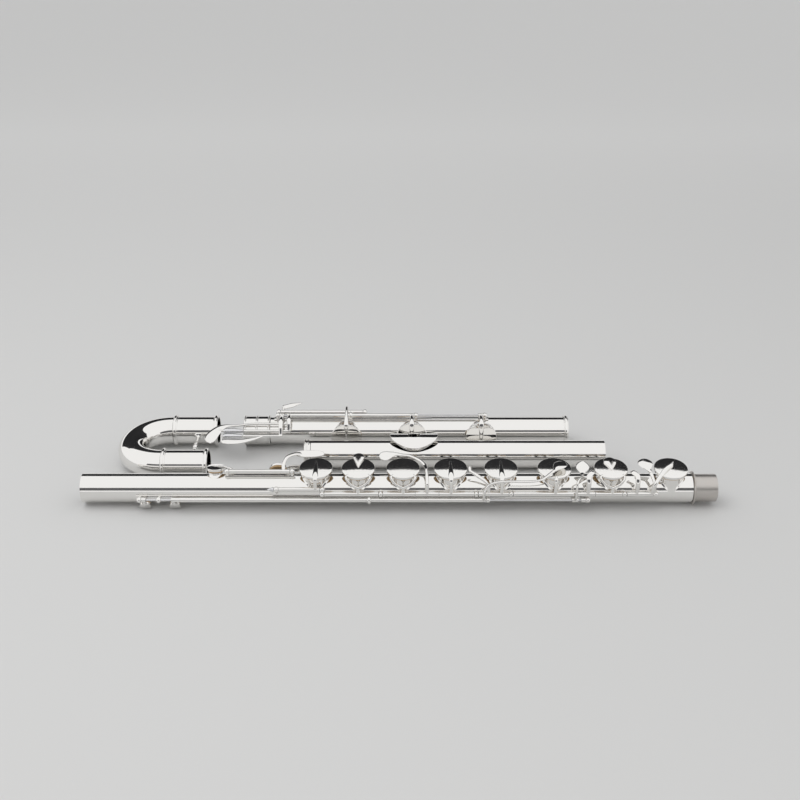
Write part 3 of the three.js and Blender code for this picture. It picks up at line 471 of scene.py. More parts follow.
# A drawn chimney: it flares out of the tube's curved surface and ends in a rolled rim.
def chimney(x, angle, cup):
    tube, flare, roll = tubing["radius"], toneHole["flare"], toneHole["rollRadius"]
    hole, rim = cup["hole"], cup["rim"]
    outer = hole + toneHole["wall"]
    angles = ringAngles(toneHole["sides"])

    def onTube(radius, depth):
        return np.sqrt(np.maximum((tube - depth) ** 2 - (radius * np.sin(angles)) ** 2, 1.0))

    foot = onTube(outer, 0)
    flareTop = np.minimum(foot + flare, rim - toneHole["flareDrop"])
    levels = [(hole, onTube(hole, tubing["wall"] + 0.05)), (hole, rim - toneHole["rollInside"])]
    for turn in np.linspace(math.pi, 0, 9):
        levels.append((hole + roll + roll * 1.25 * math.cos(turn), rim - roll + roll * math.sin(turn)))
    levels += [(outer, rim - toneHole["rollOutside"]), (outer, flareTop)]
    for turn in quarterTurn(6)[1:]:
        radius = min(outer + flare * (1 - math.cos(turn)), tube - 0.2)
        levels.append((radius, onTube(radius, 0.02) + (flareTop - foot) * (1 - math.sin(turn))))
    rings = [
        np.column_stack([radius * np.cos(angles), radius * np.sin(angles), heights + angles * 0])
        for radius, heights in levels
    ]
    return leaned(moved(skinned(rings), x), angle)


def holedTube(name, section, left, right, places):
    boredTube(name + "_tube", section, left, right, [(x, angle, columnOf(cup["hole"])) for x, angle, cup in places])
    piece(name + "_chimneys", section, joined(*[chimney(*place) for place in places]))


# Spacing of the tone holes: each gap is a semitone wider than the one before.
semitone = 2 ** (1 / 12)


def spaced(start, spacing, count):
    places = [start]
    for i in range(count - 1):
        places.append(places[-1] + spacing * semitone ** i)
    return places


firstSpacing = 41.3
holes = spaced(-82.0, firstSpacing, 8)
footHoles = spaced(-57.0, firstSpacing * semitone ** 9, 3)
mainCup = {"radius": 16.4, "hole": 12.4, "rim": 17.3}
trillCup = {"radius": 5.6, "hole": 3.6, "rim": 15.7}
cSharpCup = {"radius": 8.8, "hole": 6.0, "rim": 16.2}
thumbCup = {"radius": 9.6, "hole": 6.8, "rim": 16.4}
cSharpHoleX, cSharpAngle = -181.0, -16 * degree
thumbHoleX, thumbAngle = holes[0] - firstSpacing / semitone, -62 * degree
trillHoleXs, trillAngle = (-220.0, -249.0), 125 * degree
footCupAngle = 87 * degree
bodyHoles = [
    *[(x, 0.0, mainCup) for x in holes],
    (cSharpHoleX, cSharpAngle, cSharpCup),
    (thumbHoleX, thumbAngle, thumbCup),
    *[(x, trillAngle, trillCup) for x in trillHoleXs],
]
bodyLeft, bodyRight = -312.0, 286.0
holedTube("body", "body_joint", bodyLeft, bodyRight, bodyHoles)
print("body tube made")


# Hinge lines, posts and ribs. A line's angle is measured round its section's axis, from straight up.
hingeLook = {"distance": 19.6, "tubeRadius": 2.5, "steelRadius": 1.15, "collarWidth": 1.1, "collarRise": 0.18,
             "pinnedSleeve": 4.4, "pinnedPast": 4.0, "sides": 32, "edgeRound": 0.12, "play": 0.15}
steelRadius, play = hingeLook["steelRadius"], hingeLook["play"]
openAngle = 7.5 * degree
mainLine, highLine, trillLine = 78 * degree, 65 * degree, 97 * degree
cSharpLine, thumbLine = 6 * degree, -112 * degree
footLine, footBackLine = 9 * degree, -20 * degree


def around(distance, angle):
    return -math.sin(angle) * distance, math.cos(angle) * distance


def hingeAt(line):
    return around(hingeLook["distance"], line)


def aimed(shape, start, end):
    turn = Vector((1, 0, 0)).rotation_difference(Vector(np.subtract(end, start)))
    return shape[0] @ np.array(turn.to_matrix()).T + np.array(start), shape[1]


postLook = {"headRadius": 3.0, "stemRadius": 1.25, "footRadius": 2.1, "footHeight": 0.9, "half": 2.0,
            "ballWall": 1.6, "ballCut": 0.72, "sides": 32}
postHalf = postLook["half"]
postReach = postHalf + gap


# A post, upright on its line: a turned stem with a bored ball for the rod or tube that runs through it.
def post(x, runner=steelRadius, angle=0.0):
    floor = tubing["radius"] + gap
    y, z = hingeAt(angle)
    radius, hole = max(postLook["headRadius"], runner + postLook["ballWall"]), runner + play
    shares = np.linspace(-1, 1, 15)
    curve = [(share * postHalf, radius * math.sqrt(1 - (share * postLook["ballCut"]) ** 2)) for share in shares]
    profile = [(-postHalf, hole), *curve, (postHalf, hole), (-postHalf, hole)]
    ball = moved(turned(profile, 0.12, 2, postLook["sides"]), x, y, z)
    reach = math.hypot(y, z - floor)
    foot, high, stem = postLook["footRadius"], postLook["footHeight"], postLook["stemRadius"]
    waist = [(0, 0), (0, foot), (high * 0.6, foot), (high, stem + 0.35), (reach * 0.5, stem), (reach, stem), (reach, 0)]
    column = aimed(turned(waist, 0.4, 4, postLook["sides"]), (x, 0, floor), (x, y, z))
    return joined(ball, column)


ribLook = {"width": 4.4, "thickness": 1.1, "round": 0.35, "bevel": 0.2, "lift": 0.04, "past": 4.0}


# The strap under a row of posts, with both ends bevelled.
def rib(left, right):
    half = ribLook["width"] / 2 / tubing["radius"]
    low, high = tubing["radius"] + ribLook["lift"], tubing["radius"] + gap + ribLook["thickness"]
    arc = np.linspace(-half, half, 11)
    outline = [around(high, a) for a in arc] + [around(low, a) for a in reversed(arc)]
    outline = np.array(softened([*outline, outline[0]], ribLook["round"], 3))[:-1]
    middle, count, bevel = outline.mean(axis=0), len(outline), ribLook["bevel"]
    rings = []
    for x, share in ((left, 0.94), (left + bevel, 1.0), (right - bevel, 1.0), (right, 0.94)):
        spots = middle + (outline - middle) * share
        rings.append(np.column_stack([np.full(count, x), spots]))
    points, faces = skinned(rings)
    return points, faces + [tuple(reversed(range(count))), tuple(range(count * 3, count * 4))]


def ribbed(node, section, line, left, right, posts, past=2.0):
    shape = joined(rib(left - past, right + past), *posts)
    piece(node, section, leaned(shape, line))


# The slotted end of a rod: two rounded halves with a gap between them.
def slotted(x, outward):
    halves = []
    for side in (-1, 1):
        angles = np.linspace(0.16, math.pi - 0.16, 20)[::side]
        outline = [(steelRadius * math.cos(a), side * steelRadius * math.sin(a)) for a in angles]
        halves.append(slab(outline, 0, steelRadius * 0.55, 0.12, 0.1, 3))
    return moved(swapped(joined(*halves), (2, 0, 1), (outward, 1, 1)), x)


capProfile = [(0, 0), (0, 2.3), (1.2, 2.5), (2.3, 2.3), (2.7, 1.5), (3.1, 1.75), (5.0, 1.1), (7.0, 0.0)]


# A pivot rod with slotted ends, or with a turned cap in place of the left one.
def pivotRod(node, section, line, left, right, capped=False):
    shapes = [rod(left, right, steelRadius), slotted(right, 1)]
    if capped:
        shapes.append(revolved([(left - along, radius) for along, radius in softened(capProfile, 0.5, 4)], 48))
    else:
        shapes.append(slotted(left, -1))
    piece(node, section, moved(joined(*shapes), 0, *hingeAt(line)), slot="rod_steel")


# A short line of its own, with a post at each end of its one tube.
def lineOfTwo(name, section, line, span):
    left, right = span[0] - postReach, span[1] + postReach
    ribbed(name + "_posts", section, line, left, right, [post(left), post(right)])
    pivotRod(name + "_rod", section, line, left - postHalf, right + postHalf)


def collared(left, right, hinge):
    radius, width, rise = hingeLook["tubeRadius"], hingeLook["collarWidth"], hingeLook["collarRise"]
    hole = steelRadius + play
    shapes = [hollow(left, right, radius - rise, hole)]
    shapes += [hollow(start, start + width, radius, hole) for start in (left, right - width)]
    return moved(joined(*shapes), 0, *hinge)


# Key cups, pads and arms, drawn upright with the tone hole facing up.
cupLook = {"height": 4.2, "roof": 3.4, "wall": 0.8, "skirt": 2.6, "rise": 0.5, "armOut": 1.0, "armUp": 2.9,
           "edgeRound": 0.9, "sides": 96}
padLook = {"lift": 0.3, "thickness": 2.8, "edgeRound": 0.9, "seatDepth": 0.25, "sides": 72}
washerLook = {"radius": 2.6, "share": 0.45, "edgeRound": 0.1, "sides": 40}


def topOf(cup):
    return cup["rim"] + cupLook["height"]


def onRim(x, cup, profile, look, steps):
    return moved(upright(softened(profile, look["edgeRound"], steps), look["sides"]), x, 0, cup["rim"])


def cupShape(x, cup):
    radius, high, roof = cup["radius"], cupLook["height"], cupLook["roof"]
    inner, low, rise = radius - cupLook["wall"], high - cupLook["skirt"], cupLook["rise"]
    profile = [(radius * share, high + rise * (1 - share * share)) for share in (0, 0.2, 0.4, 0.6, 0.8, 0.9)]
    profile += [(radius, high - 0.05), (radius, low), (inner, low), (inner, roof), (0, roof)]
    return onRim(x, cup, profile, cupLook, 6)


# The pad's skin is pressed in where it closes on the rim.
def padShape(x, cup):
    radius, hole = cup["radius"] - cupLook["wall"] - 0.05, cup["hole"]
    low, high = padLook["lift"], padLook["lift"] + padLook["thickness"]
    floor, seat = low + padLook["seatDepth"], low + padLook["seatDepth"] * 1.6
    profile = [(0, floor), (hole - 0.5, floor), (hole, seat), (hole + 0.9, seat), (hole + 1.4, low), (radius, low),
               (radius, high), (0, high)]
    return onRim(x, cup, profile, padLook, 5)


def washerShape(x, cup):
    radius = min(washerLook["radius"], cup["hole"] * washerLook["share"])
    profile = [(0, 0.25), (radius * 0.3, 0.28), (radius, 0.42), (radius, 0.62), (0, 0.62)]
    return onRim(x, cup, profile, washerLook, 2)


# Where an arm meets a cup's edge, on the side of its hinge.
def cupEdge(x, cup, side, spread=0.0):
    reach = cup["radius"] + cupLook["armOut"]
    return x + math.sin(spread) * reach, -side * math.cos(spread) * reach, cup["rim"] + cupLook["armUp"]


def armRoot(x, hinge, side, edge):
    return [(x, *hinge), (x, hinge[0] - side * 0.5, (hinge[1] + edge[2]) / 2)]


def pointedArm(x, cup, hinge, side):
    radius, top, edge = cup["radius"], topOf(cup) + 0.4, cupEdge(x, cup, side)
    path = [*armRoot(x, hinge, side, edge), (x, edge[1], edge[2] - 0.4), (x, -side * (radius - 2.6), top),
            (x, 0, top + 0.35), (x, side * radius * 0.72, top - 0.1)]
    return limb(path, [1.9, 1.7, 2.1, 2.7, 1.9, 0.25], [1.9, 1.4, 1.2, 0.9, 0.75, 0.25], armUp, 48)


def plainArm(x, cup, hinge, side):
    edge = cupEdge(x, cup, side)
    path = [*armRoot(x, hinge, side, edge), (x, edge[1], edge[2] - 0.3), (x, -side * (cup["radius"] - 2.2), topOf(cup))]
    return limb(path, [1.9, 1.7, 2.0, 1.2], [1.9, 1.4, 1.2, 0.8], armUp)


def forkedArm(x, cup, hinge, side, split=0.42, spread=42 * degree):
    edge = cupEdge(x, cup, side)
    middle = (x, hinge[0] + (edge[1] - hinge[0]) * split - side * 0.4, hinge[1] + (edge[2] - hinge[1]) * split)
    shapes = [limb([(x, *hinge), middle], [1.9, 1.7], [1.9, 1.5], (0, 1, 0))]
    for out in (spread, -spread):
        end = cupEdge(x, cup, side, out)
        bend = (x + (end[0] - x) * 0.72, (middle[1] + end[1]) / 2 - side * 0.9, (middle[2] + end[2]) / 2)
        inner = (x + (end[0] - x) * 0.86, end[1] + side * 1.9, topOf(cup) - 0.05)
        path = [middle, bend, (end[0], end[1], end[2] - 0.3), inner]
        shapes.append(limb(path, [1.5, 1.3, 1.3, 0.7], [1.5, 1.2, 1.1, 0.5], (0, 1, 0.3)))
    return joined(*shapes)


def teardrop(x, cup, roundRadius, far, start=0.0):
    outline = np.array(dropOutline(roundRadius, far)) + (0, start)
    return moved(slab(outline, topOf(cup), topOf(cup) + 1.9, 0.85, 0.25), x)


# A key, its pad and its washer, leaned to the tone hole and turned open about the hinge line.
def cuppedKey(body, section, x, cup, cupAngle, line, span, arm, extras, openTurn=openAngle, pinned=False):
    hinge, side = hingeAt(line - cupAngle), math.copysign(1, line - cupAngle)

    def keyPiece(kind, shape, slot):
        piece(body + kind, section, leaned(leaned(shape, cupAngle), openTurn, hingeAt(line)), body, slot)

    left, right = span
    shapes = [cupShape(x, cup), arm(x, cup, hinge, side), *extras]
    if pinned:
        sleeve, past = hingeLook["pinnedSleeve"], hingeLook["pinnedPast"]
        shapes += [collared(left, left + sleeve, hinge), collared(right - sleeve, right, hinge)]
        keyPiece("_rod", moved(rod(left - past, right + past, steelRadius), 0, *hinge), "rod_steel")
    else:
        shapes.append(collared(left, right, hinge))
    keyPiece("_key", joined(*shapes), "silver_plate")
    keyPiece("_pad", padShape(x, cup), "pad_skin")
    keyPiece("_washer", washerShape(x, cup), "silver_plate")


# Body joint. Each tube of the main line runs between posts, or to the middle between two arms.
def spansBetween(posts, arms):
    spans = []
    for x in arms:
        before, after = max(p for p in posts if p < x), min(p for p in posts if p > x)
        lower = [a for a in arms if before < a < x]
        higher = [a for a in arms if x < a < after]
        left = (max(lower) + x) / 2 + gap / 2 if lower else before + postReach
        right = (min(higher) + x) / 2 - gap / 2 if higher else after - postReach
        spans.append([left, right])
    return spans


mainPlaces = {"highPost": 38.0, "middlePost": 9.0, "rearPost": 12.0, "eArm": 8.0}
cupRadius, armRadius = mainCup["radius"], armLook["radius"]
touchHeight, touchRadius, linkRise = topOf(mainCup) + 1.9, 5.6, 12.0
highPostX, firstPostX = holes[0] - mainPlaces["highPost"], holes[0] + postHalf + hingeLook["tubeRadius"] + armRadius
middlePostX, lastPostX = holes[4] + mainPlaces["middlePost"], holes[7] - cupRadius
leftPosts = [firstPostX, (holes[1] + holes[2]) / 2, (holes[3] + holes[4]) / 2, middlePostX]
rightPosts = [holes[6] + mainPlaces["rearPost"], lastPostX]
leverX = (holes[2] + holes[3]) / 2

arms = [holes[1], holes[2], leverX, *holes[3:7], lastPostX - mainPlaces["eArm"]]
spans = spansBetween(leftPosts + rightPosts, arms)
leverSpan = spans.pop(2)
linkBoundary = holes[6] - cupRadius
spans[4][1] = linkBoundary - gap / 2
spans[5][0] = linkBoundary + gap / 2
keySpans = [[highPostX + postReach, firstPostX - postReach], *spans]

tenonLook = {"step": 0.9, "wall": 1.6, "inset": 9.5, "length": 24.0, "ring": 16.7, "ringFoot": 15.7, "ringWidth": 2.3,
             "edgeRound": 0.45}
outer, seat, start = tubing["radius"] - tenonLook["step"], bodyRight + gap, bodyRight - tenonLook["inset"]
inner, foot, width = outer - tenonLook["wall"], tenonLook["ringFoot"], tenonLook["ringWidth"]
tenonProfile = [
    (start, inner), (start, bore - gap), (seat, bore - gap), (seat, foot), (seat + width / 2, tenonLook["ring"]),
    (seat + width, foot), (seat + width, outer), (seat + tenonLook["length"], outer),
    (seat + tenonLook["length"], inner), (start, inner),
]
piece("body_tenon", "body_joint", turned(tenonProfile, tenonLook["edgeRound"]), slot="satin_silver")

mainPosts = [post(x) for x in leftPosts + rightPosts]
mainPosts += [post(x, angle=highLine - mainLine) for x in (highPostX, firstPostX)]
ribbed("main_post_rib", "body_joint", mainLine, highPostX, lastPostX, mainPosts, ribLook["past"])
pivotRod("b_rod", "body_joint", highLine, highPostX - postReach, firstPostX + postHalf, capped=True)
pivotRod("left_hand_rod", "body_joint", mainLine, firstPostX - postHalf, middlePostX - play)
pivotRod("right_hand_rod", "body_joint", mainLine, middlePostX + play, lastPostX + postHalf)

trillLook = {"touches": (156.0, 178.0), "lever": 81.0, "middlePost": -30.0, "rise": 4.3, "bend": 5.5}
trillTouchXs, trillLeverX, trillEnds = trillLook["touches"], trillLook["lever"], armRadius + gap
trillLeft = trillHoleXs[1] - trillEnds - postReach
trillRight = trillTouchXs[1] + trillEnds + postReach
trillPosts = [trillLeft, sum(trillHoleXs) / 2, trillLeverX + trillEnds + postReach, trillRight]
trillShapes = [post(x) for x in trillPosts] + [post(trillLook["middlePost"], hingeLook["tubeRadius"])]
ribbed("trill_post_rib", "body_joint", trillLine, trillLeft, trillRight, trillShapes, ribLook["past"])


# A strap that arches from a key's tube towards the F cup's rim.
def linkArch(side, hinge):
    offset = cupRadius + gap + armLook["tip"]
    foot, tip = holes[6] + side * (offset + touchRadius), holes[6] + side * offset
    y, z = hinge
    path = [(foot, y, z), (foot, y - 0.6, z + linkRise),
            (foot - side * 0.4, y + touchRadius * 0.7, touchHeight - 0.4),
            (tip + side * 1.4, y + touchRadius * 1.7, touchHeight + 0.2),
            (tip + side * 1.1, y + touchRadius * 2.3, touchHeight - 1.6)]
    return limb(path, [1.7, 1.5, 1.3, 1.2, 0.9], [2.0, 2.2, 2.6, 2.5, 1.6], (1, 0, 0))


def eTouch(hinge):
    x = lastPostX - touchRadius - armRadius - 1.6
    y, z = hinge
    neck = (x + 4.2, y + touchRadius * 2, touchHeight - 1.2)
    stalk = [(x + touchRadius + 1.6, y, z), (x + touchRadius + 1.4, y - 0.4, z + linkRise), neck]
    spoon = [neck, (x + 1.4, 0, touchHeight + 0.9), (x, touchRadius * 1.8, touchHeight + 1.4)]
    return [limb(stalk, [1.7, 1.5, 1.7], [1.7, 1.4, 1.2], armUp), leaf(spoon, 1.6, 7.4, 1.0, 0.68)]


def longArm(x, cup, hinge, side):
    root, radius = lastPostX - 4.0, cup["radius"]
    y, z = hinge
    path = [(root, y, z), (root + 1.9, y - 1.3, z + linkRise), (x - radius / 2, -radius / 2, touchHeight),
            (x + 1, touchRadius / 2, touchHeight), (x + touchRadius / 2 + 1, radius / 2, touchHeight - 0.8)]
    return limb(path, [1.9, 1.9, 2.4, 2.0, 0.3], [1.9, 1.4, 1.2, 1.0, 0.3], (0, 1, 0.4), 56)


# A small arm on the G key that ends in a curl beside the G sharp cup.
def curledArm(hinge):
    x = holes[3] + cupRadius + 2.4
    y, z = hinge
    path = [(x + 18.0, y, z), (x + 16.5, y + 3.0, z + 10.0), (x + 6.0, y + 10.0, z + 15.5),
            (x, y + 13.0, z + 18.5), (x - 0.6, y + 16.5, z + 20.5), (x + 0.8, y + 17.5, z + 18.6)]
    return limb(path, [1.9, 1.6, 1.8, 1.3, 1.1, 0.9], [1.6, 1.2, 1.0, 0.9, 0.9, 0.8], steps=60)


mainHinge = hingeAt(mainLine)
mainKeys = [
    ("b", pointedArm, []),
    ("a_sharp", forkedArm, [teardrop(holes[1], mainCup, touchRadius, cupRadius)]),
    ("a", forkedArm, []),
    ("g_sharp", pointedArm, []),
    ("g", pointedArm, [curledArm(mainHinge)]),
    ("f_sharp", plainArm, [linkArch(-1, mainHinge)]),
    ("f", forkedArm, [teardrop(holes[6], mainCup, touchRadius + 0.6, 14.0, -5.0)]),
    ("e", longArm, [*eTouch(mainHinge), linkArch(1, mainHinge)]),
]
for i, (body, arm, extras) in enumerate(mainKeys):
    cuppedKey(body, "body_joint", holes[i], mainCup, 0.0, mainLine if i else highLine, keySpans[i], arm, extras)
print("main keys made")

# The G sharp lever reaches over the row and ends in a long touch behind the A cup.
y, z = mainHinge
behind, top, aHole = cupRadius + 1.6, touchHeight + 1.8, holes[2]
leverPath = [(leverX, y, z), (leverX, y - 1.3, z + linkRise), (leverX - 0.5, -8.0, touchHeight - 1.0),
             (leverX - 2.0, 3.0, touchHeight + 0.6), (aHole + 15.5, behind - 6.5, top),
             (aHole + 7.0, behind, top + 0.6), (aHole - 2.0, behind + 0.6, top + 1.6)]
leverTip = [leverPath[-1], (aHole - 9.0, behind + 0.9, top + 2.2), (aHole - 15.0, behind - 1.2, top + 2.1),
            (aHole - 19.5, behind - 3.0, top + 1.6), (aHole - 22.5, behind - 4.4, top + 1.0)]
lever = joined(
    limb(leverPath, [1.9, 1.7, 1.7, 1.8, 1.8, 1.7, 1.6], [1.7, 1.4, 1.2, 1.1, 1.1, 1.0, 0.9], armUp, 80),
    limb(leverTip, [1.6, 1.9, 3.2, 4.8, 5.4, 4.9, 2.6], [0.9, 0.9, 0.9, 0.9, 0.9, 0.8, 0.6], (0, -0.42, 0.9)),
    collared(*leverSpan, mainHinge),
)
piece("g_sharp_lever", "body_joint", lever, "lever")

cSharpTouch = {"lift": 10.2, "run": 15.0, "reach": 22.4, "length": 14.8, "width": 4.7, "tilt": 28 * degree}
cSharpSpan = [cSharpHoleX + cSharpCup["radius"] + touchRadius, -107.6]
y, z = hingeAt(cSharpLine - cSharpAngle)
root, lift, run, reach = cSharpSpan[1] - 6.0, cSharpTouch["lift"], cSharpTouch["run"], cSharpTouch["reach"]
centre = (y + reach, z + lift)
stalk = [(root, y, z), (root - 0.4, y + 4.0, z + 5.4), (root + 2.4, y + 12.0, z + lift),
         (root + 9.0, y + reach - 3.0, z + lift + 0.8), (root + run, *centre)]
lobe = pebble((root + run + cSharpCup["radius"], *centre), cSharpTouch["length"], cSharpTouch["width"])
cSharpExtras = [
    limb(stalk, [1.9, 1.7, 1.9, 2.3, 2.6], [1.6, 1.3, 1.2, 1.1, 1.0], (0, -0.6, 0.8)),
    leaned(lobe, cSharpTouch["tilt"], centre),
]


def cSharpArm(x, cup, hinge, side):
    y, z = hinge
    root, top = cSharpSpan[0] + armRadius, topOf(cup) + 0.2
    path = [(root, y, z), (root, y + touchRadius, z), (x + cup["radius"] / 2, 0.8, top), (x - 3.0, 0, top)]
    return limb(path, [1.6, 1.4, 1.5, 0.3], [1.6, 1.3, 1.0, 0.3], (1, 0, 0.4))


cuppedKey("c_sharp", "body_joint", cSharpHoleX, cSharpCup, cSharpAngle, cSharpLine, cSharpSpan, cSharpArm,
          cSharpExtras)
lineOfTwo("c_sharp", "body_joint", cSharpLine, cSharpSpan)


# The trill levers run up in front of the main row and back over it.
def trillArm(x, cup, hinge, side):
    return strut((x, *hinge), (x, -side * cup["radius"] / 2, topOf(cup)), armLook["tip"])


def trillLever(rootX, touchX, height):
    y, z = hingeAt(trillLine)
    bend = trillLook["bend"]
    frontY, long = y - bend, touchX > rootX
    foot = rootX if long else rootX - 8.0
    path = [(foot, y, z), (foot, frontY, z + bend), (foot, frontY - 1.3, z + linkRise)]
    if long:
        neck, tip = (touchX - 8.0, y + touchRadius, height - 1.4), (touchX + 4.0, 1.0, height + 0.8)
        path += [(rootX + bend, frontY, touchHeight - bend), (rootX + bend * 3, frontY, touchHeight - 2.2),
                 (touchX - bend * 4, frontY + 1.3, touchHeight - 1.3), neck]
    else:
        neck, tip = (touchX - 1.6, y + touchRadius, height - 1.8), (touchX + 1.0, 6.0, height + 2.8)
        path += [(foot + 1.0, frontY + 1.9, touchHeight - 3.6), neck]
    middle = ((neck[0] + tip[0]) / 2, (neck[1] + tip[1]) / 2, height + 0.4)
    shapes = [limb(path, [1.5, 1.4, 1.4, 1.4, 1.5, 1.6], [1.4, 1.3, 1.3, 1.2, 1.1, 1.1], (1, 0, 0), 90),
              leaf([neck, middle, tip], 1.5, touchRadius + 1.0, 1.0, 0.64)]
    if not long:
        shapes.append(collared(foot - 3.0, foot + 3.0, (y, z)))
    return shapes


trillRoots, trillHeights = (trillLeverX, trillTouchXs[1]), (touchHeight + trillLook["rise"], touchHeight)
for i, body in enumerate(("trill_d", "trill_d_sharp")):
    span = [trillHoleXs[i] - trillEnds, trillRoots[i] + trillEnds]
    extras = [leaned(shape, -trillAngle) for shape in trillLever(trillRoots[i], trillTouchXs[i], trillHeights[i])]
    cuppedKey(body, "body_joint", trillHoleXs[i], trillCup, trillAngle, trillLine, span, trillArm, extras, 0.0,
              pinned=i == 1)

thumbReach = 16.4
thumbSpan = [thumbHoleX - thumbReach, thumbHoleX + thumbReach]
thumbEnd = (thumbHoleX + thumbReach, 0, topOf(thumbCup) + 1)


def thumbArm(x, cup, hinge, side):
    return strut((x, *hinge), (x, cup["radius"], cup["rim"] + cupLook["armUp"]), armRadius)


thumbTouch = [
    limb([(thumbHoleX, 0, topOf(thumbCup)), thumbEnd], [1.3, 1.6], [1.2, 1.0]),
    pebble(thumbEnd, thumbReach / 2, touchRadius),
]
cuppedKey("thumb", "body_joint", thumbHoleX, thumbCup, thumbAngle, thumbLine, thumbSpan, thumbArm, thumbTouch,
          -openAngle)
lineOfTwo("thumb", "body_joint", thumbLine, thumbSpan)
print("body joint made")


# Crook.
crookLook = {"radius": 37.3, "centreX": -243.0, "braceX": -215.0, "sleeveLength": 47.5, "sleeveRise": 0.25,
             "ringEdge": 1.15, "steps": 128}
crookRadius, crookCentreX = crookLook["radius"], crookLook["centreX"]


def crookBend():
    angles = ringAngles(tubing["sides"])
    turns = np.linspace(0, math.pi, crookLook["steps"] + 1)
    rings = []
    for radius, course in ((tubing["radius"], turns), (bore, turns[::-1])):
        for turn in course:
            outwards = crookRadius + radius * np.cos(angles)
            rings.append(np.column_stack([-math.sin(turn) * outwards, -math.cos(turn) * outwards,
                                          radius * np.sin(angles)]))
    return moved(skinned(rings, True), crookCentreX, crookRadius)


# A sleeve with a rounded ring at each end.
def sleeveShape():
    tube, ring = tubing["radius"] + crookLook["sleeveRise"], tubing["radius"] + tubing["ringHeight"]
    long, wide, edge = crookLook["sleeveLength"], tubing["ringWidth"], crookLook["ringEdge"]
    flank = [(wide - 1.6, ring), (wide - 1.1, ring - 0.9), (wide, ring - 1.3), (wide, tube)]
    profile = [(0, bore), (0, ring - edge), (edge, ring), *flank]
    profile += [(long - along, radius) for along, radius in reversed(profile)] + [(0, bore)]
    return turned(profile, tubing["ringRound"])


piece("crook_bend", "crook", crookBend())
for node, y in (("front_sleeve", 0.0), ("rear_sleeve", crookRadius * 2)):
    piece(node, "crook", moved(sleeveShape(), crookCentreX + gap, y))

braceFoot = tubing["radius"] + gap
reach = (crookRadius - braceFoot) * 2
middle = reach / 2
half = [(0, 0), (0, 4.9), (0.7, 5.0), (1.2, 4.2), (2.2, 2.2), (3.6, 1.5), (middle - 7.0, 1.4), (middle - 5.6, 2.1),
        (middle - 5.0, 2.1), (middle - 3.6, 1.5), (middle - 2.4, 2.3), (middle, 3.0)]
brace = half + [(reach - along, radius) for along, radius in reversed(half[:-1])]
shape = swapped(turned(brace, 0.5, 4, 64), (1, 0, 2), (-1, 1, 1))
piece("crook_brace", "crook", moved(shape, crookLook["braceX"], braceFoot))
print("crook made")


# Head tube, with its blow hole and lip plate.
headLeft, headRight = -100.4, 211.6
lipLook = {"length": 25.0, "width": 17.0, "arc": 19.5, "wall": 1.4, "crest": 21.5, "edgeRound": 0.55, "sides": 128}
blowHole = {"x": 14.5, "angle": -10 * degree, "length": 6.3, "width": 5.4, "riserWall": 1.8}
crownLook = {"length": 8.0, "round": 0.55}
blowX, blowAngle = blowHole["x"], blowHole["angle"]
column = swapped(columnOf(1.0), (0, 1, 2), (blowHole["length"], blowHole["width"], 1))
boredTube("head_tube", "head", headLeft + crownLook["length"] + gap, headRight, [(blowX, blowAngle, column)])


# One sheet that runs from the hole over the plate, round its edge and back to the riser's foot on the tube.
def lipPlate():
    arc, wall, sides = lipLook["arc"], lipLook["wall"], lipLook["sides"]
    long, wide, riserWall = blowHole["length"], blowHole["width"], blowHole["riserWall"]
    hole, riser = oval(long, wide, sides=sides), oval(long + riserWall, wide + riserWall, sides=sides)
    edge = oval(lipLook["length"], lipLook["width"], 2.25, sides)
    tube = tubing["radius"] + 0.02

    def onArc(plan, radius):
        return np.sqrt(radius ** 2 - plan[:, 1] ** 2)

    def sheet(plan, radius):
        return lipLook["crest"] - arc + onArc(plan, radius)

    levels = [(hole, onArc(hole, tube)), (hole, sheet(hole, arc) - 1.0)]
    for turn in quarterTurn(5)[1:]:
        plan = hole * (1 + 0.09 * (1 - math.cos(turn)))
        levels.append((plan, sheet(plan, arc) - 0.5 + 0.5 * math.sin(turn)))
    for share in (0.06, 0.15, 0.3, 0.45, 0.6, 0.75, 0.86, 0.93, 0.97):
        plan = hole * 1.09 * (1 - share) + edge * share
        levels.append((plan, sheet(plan, arc)))
    for turn in np.linspace(0, math.pi, 9)[1:]:
        plan = edge * (1 - 0.012 + 0.012 * math.sin(turn))
        levels.append((plan, sheet(plan, arc - wall / 2 + wall / 2 * math.cos(turn))))
    for share in (0.9, 0.7, 0.45, 0.2, 0.06):
        plan = riser * (1 - share) + edge * share
        levels.append((plan, sheet(plan, arc - wall)))
    levels.append((riser, sheet(riser, arc - wall) - lipLook["edgeRound"]))
    for turn in quarterTurn(5):
        plan = riser * (1 + 0.14 * (1 - math.cos(turn)))
        levels.append((plan, onArc(plan, tube) + 1 - math.sin(turn)))
    rings = [np.column_stack(level) for level in levels]
    return leaned(moved(skinned(rings, True), blowX), blowAngle)


piece("lip_plate", "head", lipPlate())
crownProfile = [
    (0, 0), (0, 7.2), (0.5, 9.2), (1.1, 14.3), (2.2, 15.6), (3.2, 15.6), (3.6, 15.0), (4.4, 15.0), (4.8, 15.6),
    (5.9, 15.6), (6.6, 14.9), (8.0, 14.5), (8.0, 13.5), (14.0, 13.5), (14.0, 0),
]
piece("crown", "head", moved(turned(crownProfile, crownLook["round"]), headLeft))

